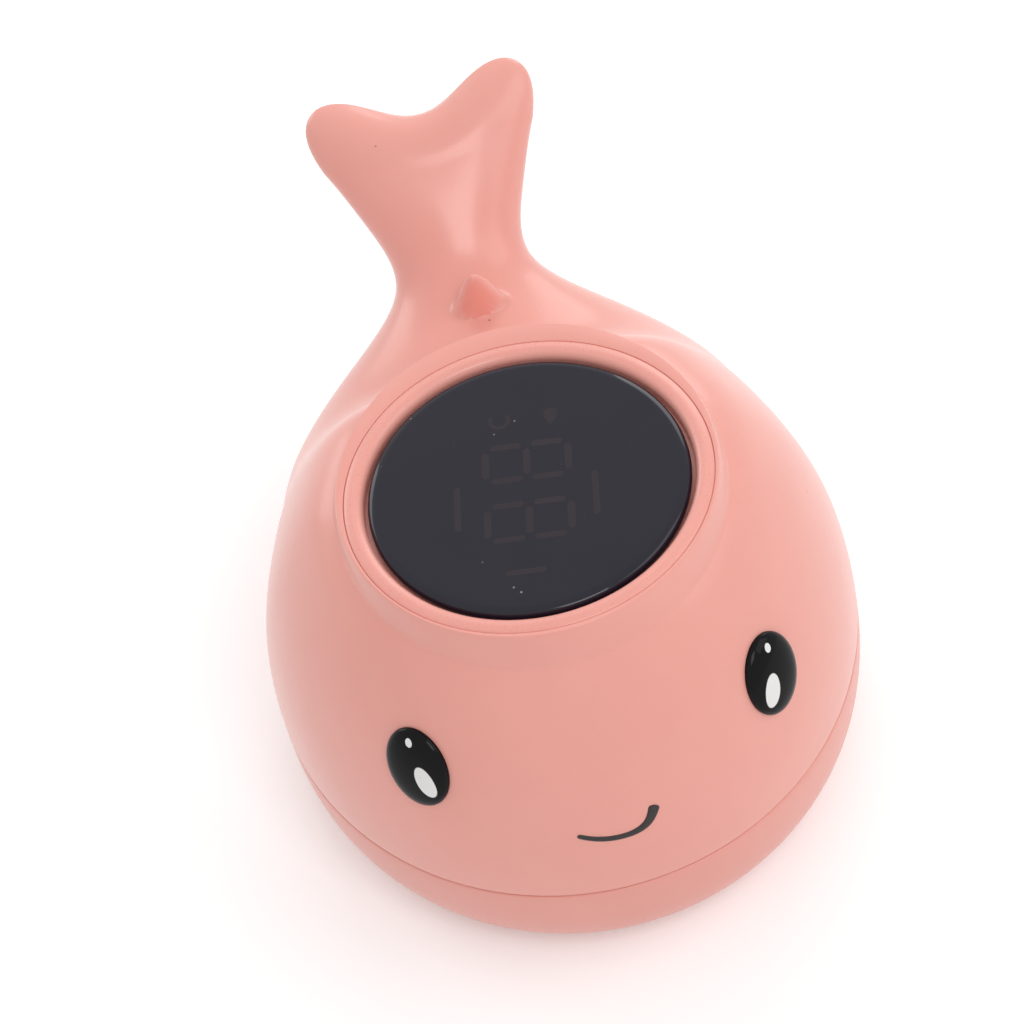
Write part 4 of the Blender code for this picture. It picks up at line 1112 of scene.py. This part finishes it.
cap = rounded([(0, 0.38), (1.6, 0.4), (2.35, 0.5), (2.6, 0.75), (2.6, 1.0), (1.7, 1.0), (1.7, 7.2),
               (1.25, 7.2), (1.25, 1.3)], 0.2)
show(turned("probe_dome", np.vstack([cap, [(0, 1.3)]]), (0, PROBE_Y), 72), "probe_steel", "probe_cap")
pin = rounded([(0, 0.38), (0.9, 0.4), (1.45, 0.52), (1.6, 0.8), (1.6, 1.0), (0.8, 1.0), (0.8, 6.0)], 0.2)
for side, word in ((-1, "left"), (1, "right")):
    piece = turned(f"contact_{word}", np.vstack([pin, [(0, 6.0)]]), (side * PIN_X, PIN_Y), 48)
    show(piece, "probe_steel", f"water_pin_{word}")

# %% [markdown]
# ## Finishes
#
# Every finish is worked out by nodes from the place on the object, so it needs no picture. These
# helpers each add a node and join it up: a noise, a change of range, a mix of colours, a bump.

# %% Helpers for finishes
def noise(tree, place, scale, detail=3.0):
    """A noise that varies over the object, between 0 and 1."""
    made = tree.nodes.new("ShaderNodeTexNoise")
    made.inputs["Scale"].default_value = scale
    made.inputs["Detail"].default_value = detail
    tree.links.new(place, made.inputs["Vector"])
    return made.outputs["Fac"]


def ramp(tree, value, low, high, to_low=0.0, to_high=1.0):
    """The value from low to high spread over another range, and clipped there."""
    made = tree.nodes.new("ShaderNodeMapRange")
    for name, number in (("From Min", low), ("From Max", high), ("To Min", to_low), ("To Max", to_high)):
        made.inputs[name].default_value = number
    tree.links.new(value, made.inputs["Value"])
    return made.outputs[0]


def blend(tree, share, first, second):
    """A mix of two colours, each a plain colour or a socket."""
    made = tree.nodes.new("ShaderNodeMix")
    made.data_type = "RGBA"
    tree.links.new(share, made.inputs["Factor"])
    for socket, colour in ((made.inputs["A"], first), (made.inputs["B"], second)):
        if isinstance(colour, tuple):
            socket.default_value = (*colour, 1)
        else:
            tree.links.new(colour, socket)
    return made.outputs["Result"]


def bump(tree, shader, height, distance):
    """Raises and sinks the surface by a height, in millimetres."""
    made = tree.nodes.new("ShaderNodeBump")
    made.inputs["Distance"].default_value = distance * MM
    made.inputs["Strength"].default_value = 1.0
    tree.links.new(height, made.inputs["Height"])
    tree.links.new(made.outputs[0], shader.inputs["Normal"])


# %% [markdown]
# ## A general finish
#
# Real surfaces are never quite even, and a plain colour looks like a drawing. A slow noise shifts
# the colour a little, as in moulded plastic, and a fine one varies the gloss and lifts the
# surface by a hair.

# %% A general finish
def finish(name, colour, shift, rough, grain, metal=0.0, gloss=0.5, coat=0.0, coat_rough=0.1,
           cloud=120.0, lift=0.004):
    """A finish whose colour drifts between two tones and whose gloss and height follow a fine grain.

    It gives the material, its tree, its shader, the object coordinates and the drifting colour."""
    mat = bpy.data.materials.new(name)
    mat.use_nodes = True
    tree = mat.node_tree
    shader = tree.nodes["Principled BSDF"]
    place = tree.nodes.new("ShaderNodeTexCoord").outputs["Object"]
    drift = ramp(tree, noise(tree, place, cloud), 0.3, 0.7)
    tone = blend(tree, drift, colour, tuple(c * s for c, s in zip(colour, shift)))
    tree.links.new(tone, shader.inputs["Base Color"])
    fine = noise(tree, place, grain, 2.0)
    tree.links.new(ramp(tree, fine, 0.3, 0.7, rough[0], rough[1]), shader.inputs["Roughness"])
    bump(tree, shader, fine, lift)
    shader.inputs["Metallic"].default_value = metal
    shader.inputs["Specular IOR Level"].default_value = gloss
    shader.inputs["Coat Weight"].default_value = coat
    shader.inputs["Coat Roughness"].default_value = coat_rough
    mat.diffuse_color = (*colour, 1)
    return mat, tree, shader, place, tone


# %% [markdown]
# ## Pink plastic
#
# The shells and the ring are moulded in a pale opaque pink with a satin shine. Light goes a little
# way into such plastic and softens its shadows, so the shader has a weak subsurface part. A
# thin coat gives the sharper highlight over the broad one, and tiny dark specks lie here and
# there, as they do in real mouldings. The base is a touch duller than the shell.

# %% Pink moulded plastic
PINK_TONE = (0.82, 0.355, 0.298)


def specks(tree, place, scale, size, offset=0.0):
    """1 on small sparse dots and 0 elsewhere: near the middle of a few of a set of random cells."""
    moved = tree.nodes.new("ShaderNodeMapping")
    moved.inputs["Location"].default_value = (offset, offset, offset)
    tree.links.new(place, moved.inputs["Vector"])
    cells = tree.nodes.new("ShaderNodeTexVoronoi")
    cells.inputs["Scale"].default_value = scale
    tree.links.new(moved.outputs[0], cells.inputs["Vector"])
    return ramp(tree, cells.outputs["Distance"], size, size * 0.6)


def pink(name, tone, rough, coat):
    """Moulded pink plastic under a thin gloss, with a few dark specks and a little light inside it."""
    mat, tree, shader, place, colour = finish(name, tone, (0.975, 0.95, 0.95), rough, 2600.0, gloss=0.38,
                                              coat=coat, coat_rough=0.19, cloud=70.0, lift=0.003)
    dot = specks(tree, place, 125.0, 0.024)
    speckled = blend(tree, dot, colour, (0.45, 0.13, 0.10))
    tree.links.new(speckled, shader.inputs["Base Color"])
    shader.inputs["Subsurface Weight"].default_value = 0.08
    shader.inputs["Subsurface Radius"].default_value = (1.0, 0.35, 0.25)
    shader.inputs["Subsurface Scale"].default_value = 0.8 * MM
    return mat


pink_shell = pink("pink_shell_finish", PINK_TONE, (0.28, 0.36), 0.4)
pink_base = pink("pink_base_finish", tuple(c * 0.97 for c in PINK_TONE), (0.33, 0.42), 0.2)
pink_ring = pink("pink_ring_finish", tuple(c * 1.01 for c in PINK_TONE), (0.26, 0.34), 0.3)
for obj, mat in ((upper, pink_shell), (lower, pink_base), (cover, pink_base), (bezel, pink_ring)):
    obj.data.materials.append(mat)
print("pink finishes:", [mat.name for mat in (pink_shell, pink_base, pink_ring)])

# %% [markdown]
# ## Dark window
#
# The window is smoked plastic, nearly black and polished. It could be clear, over a modelled
# display, but nothing shows through it beside the unlit bars, so a dark surface with a sharp
# mirror layer looks the same and renders without noise. Fine pale dust lies on it in patches.

# %% Dark window and its unlit bars
POLISH = {"gloss": 0.36, "lift": 0.0004}


def dusty(tree, place, colour, shader):
    """Fine pale dust over a colour: dots, kept only where a slow noise is high."""
    dot = specks(tree, place, 420.0, 0.07, 0.31)
    few = ramp(tree, noise(tree, place, 90.0, 1.0), 0.5, 0.6, 0.0, 0.75)
    share = tree.nodes.new("ShaderNodeMath")
    share.operation = "MULTIPLY"
    tree.links.new(dot, share.inputs[0])
    tree.links.new(few, share.inputs[1])
    tree.links.new(blend(tree, share.outputs[0], colour, (0.35, 0.33, 0.33)), shader.inputs["Base Color"])


glass, tree, shader, place, colour = finish("smoked_glass", (0.0062, 0.0056, 0.0145), (1.4, 1.3, 1.2),
                                            (0.05, 0.09), 1500.0, **POLISH)
dusty(tree, place, colour, shader)
window.data.materials.append(glass)
unlit = finish("unlit_bars", (0.0215, 0.0140, 0.0215), (0.8, 0.8, 0.8), (0.05, 0.09), 1500.0, **POLISH)[0]
figures.data.materials.append(unlit)
print("dark finishes:", glass.name, unlit.name)

# %% [markdown]
# ## Eyes and ink
#
# The glints are printed, so they stay where they are when the light moves. Each is an oval on the
# eye's UV map. A picture could hold them, but a Mapping node that centres, turns and stretches
# the map makes the oval a circle of radius one, and then only the distance from its middle counts.

# %% Eyes and ink
# Each row: middle and half sizes of a glint in millimetres, and its turn in degrees
GLINTS = ((-1.28, -1.42, 1.07, 2.04, -9.5), (-0.5, 3.57, 0.41, 0.53, -16.0))


def in_oval(tree, chart, row):
    """1 inside an oval of the chart, which runs from 0 to 1 over 10 mm with its middle at a half."""
    u, v, half_u, half_v, turn = row
    moved = tree.nodes.new("ShaderNodeMapping")
    moved.vector_type = "TEXTURE"
    moved.inputs["Location"].default_value = (0.5 + u / 10, 0.5 + v / 10, 0)
    moved.inputs["Rotation"].default_value = (0, 0, np.radians(turn))
    moved.inputs["Scale"].default_value = (half_u / 10, half_v / 10, 1)
    tree.links.new(chart, moved.inputs["Vector"])
    far = tree.nodes.new("ShaderNodeVectorMath")
    far.operation = "LENGTH"
    tree.links.new(moved.outputs[0], far.inputs[0])
    return ramp(tree, far.outputs["Value"], 1.04, 0.98)


def eye_finish(name):
    """Polished black with white ovals: each is mixed over the colour where it lies."""
    mat, tree, shader, _, colour = finish(name, (0.004, 0.004, 0.005), (1.5, 1.4, 1.3), (0.03, 0.07),
                                          1800.0, gloss=0.12, lift=0.0004)
    chart = tree.nodes.new("ShaderNodeUVMap")
    chart.uv_map = "eye_chart"
    for row in GLINTS:
        colour = blend(tree, in_oval(tree, chart.outputs[0], row), colour, (0.78, 0.77, 0.76))
    tree.links.new(colour, shader.inputs["Base Color"])
    return mat


eye_black = eye_finish("eye_gloss")
for obj in (eye_left, eye_right):
    obj.data.materials.append(eye_black)
ink = finish("smile_ink", (0.012, 0.009, 0.009), (1.5, 1.3, 1.3), (0.4, 0.55), 2500.0, lift=0.003)[0]
smile_line.data.materials.append(ink)
print("eyes and smile:", eye_black.name, ink.name)

# %% [markdown]
# ## Metal, rubber and the parts inside
#
# The parts inside are hidden in the closed object but stay in the model, so each CAD node gets a
# finish too: spun steel, zinc, rubber, green circuit board and coloured leads. They share the
# general finish, so one table holds what makes them differ.

# %% Finishes of the other pieces
# Each row: finish, colour, its second tone as shares of it, roughness, grain, options, CAD nodes
INNER = (
    ("spun_steel", (0.56, 0.55, 0.54), (0.85, 0.85, 0.85), (0.18, 0.34), 3000.0, {"metal": 1.0},
     ("coin_cell", "tilt_switch")),
    ("zinc_plate", (0.5, 0.5, 0.51), (0.8, 0.82, 0.85), (0.28, 0.45), 2200.0, {"metal": 1.0},
     ("board_screw_1", "board_screw_2", "board_screw_3", "probe_nut")),
    ("bright_nickel", (0.6, 0.57, 0.52), (0.9, 0.88, 0.85), (0.2, 0.36), 2600.0, {"metal": 1.0},
     ("minus_contact", "plus_contact")),
    ("soft_rubber", (0.09, 0.09, 0.09), (0.8, 0.8, 0.8), (0.6, 0.8), 1800.0, {"lift": 0.01},
     ("cover_seal", "joint_seal", "probe_seal")),
    ("solder_mask", (0.02, 0.14, 0.06), (0.8, 0.9, 0.8), (0.35, 0.5), 1600.0, {"coat": 0.3},
     ("display_board", "main_board")),
    ("chip_case", (0.02, 0.02, 0.022), (1.4, 1.4, 1.4), (0.45, 0.6), 3500.0, {"lift": 0.008},
     ("board_header", "main_chip", "probe_bead")),
    ("black_card", (0.012, 0.012, 0.012), (1.4, 1.4, 1.4), (0.55, 0.75), 2500.0, {},
     ("display_mask",)),
    ("milky_plastic", (0.74, 0.74, 0.7), (0.95, 0.95, 0.93), (0.35, 0.5), 1500.0, {},
     ("segment_guide",)),
    ("red_lead", (0.5, 0.02, 0.02), (0.85, 0.8, 0.8), (0.4, 0.55), 2500.0, {},
     ("battery_lead_plus",)),
    ("black_lead", (0.02, 0.02, 0.02), (1.3, 1.3, 1.3), (0.4, 0.55), 2500.0, {},
     ("battery_lead_minus", "water_lead_left", "water_lead_right")),
    ("white_lead", (0.7, 0.7, 0.68), (0.93, 0.93, 0.9), (0.4, 0.55), 2500.0, {},
     ("probe_lead_left", "probe_lead_right")),
)
METAL_PIECES = {"screw_left": "zinc_plate", "screw_right": "zinc_plate", "probe_dome": "spun_steel",
                "contact_left": "spun_steel", "contact_right": "spun_steel"}
dressed = set()
for name, colour, shift, rough, grain, options, nodes in INNER:
    mat = finish(name, colour, shift, rough, grain, **options)[0]
    for node in nodes:
        dressed.add(node)
        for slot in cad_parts[node].material_slots:
            slot.material = mat
for name, metal in METAL_PIECES.items():
    bpy.data.objects[name].data.materials.append(bpy.data.materials[metal])
left_over = [n for n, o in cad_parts.items() if n not in dressed and not o.hide_render]
print("CAD nodes that show with no new finish:", left_over)
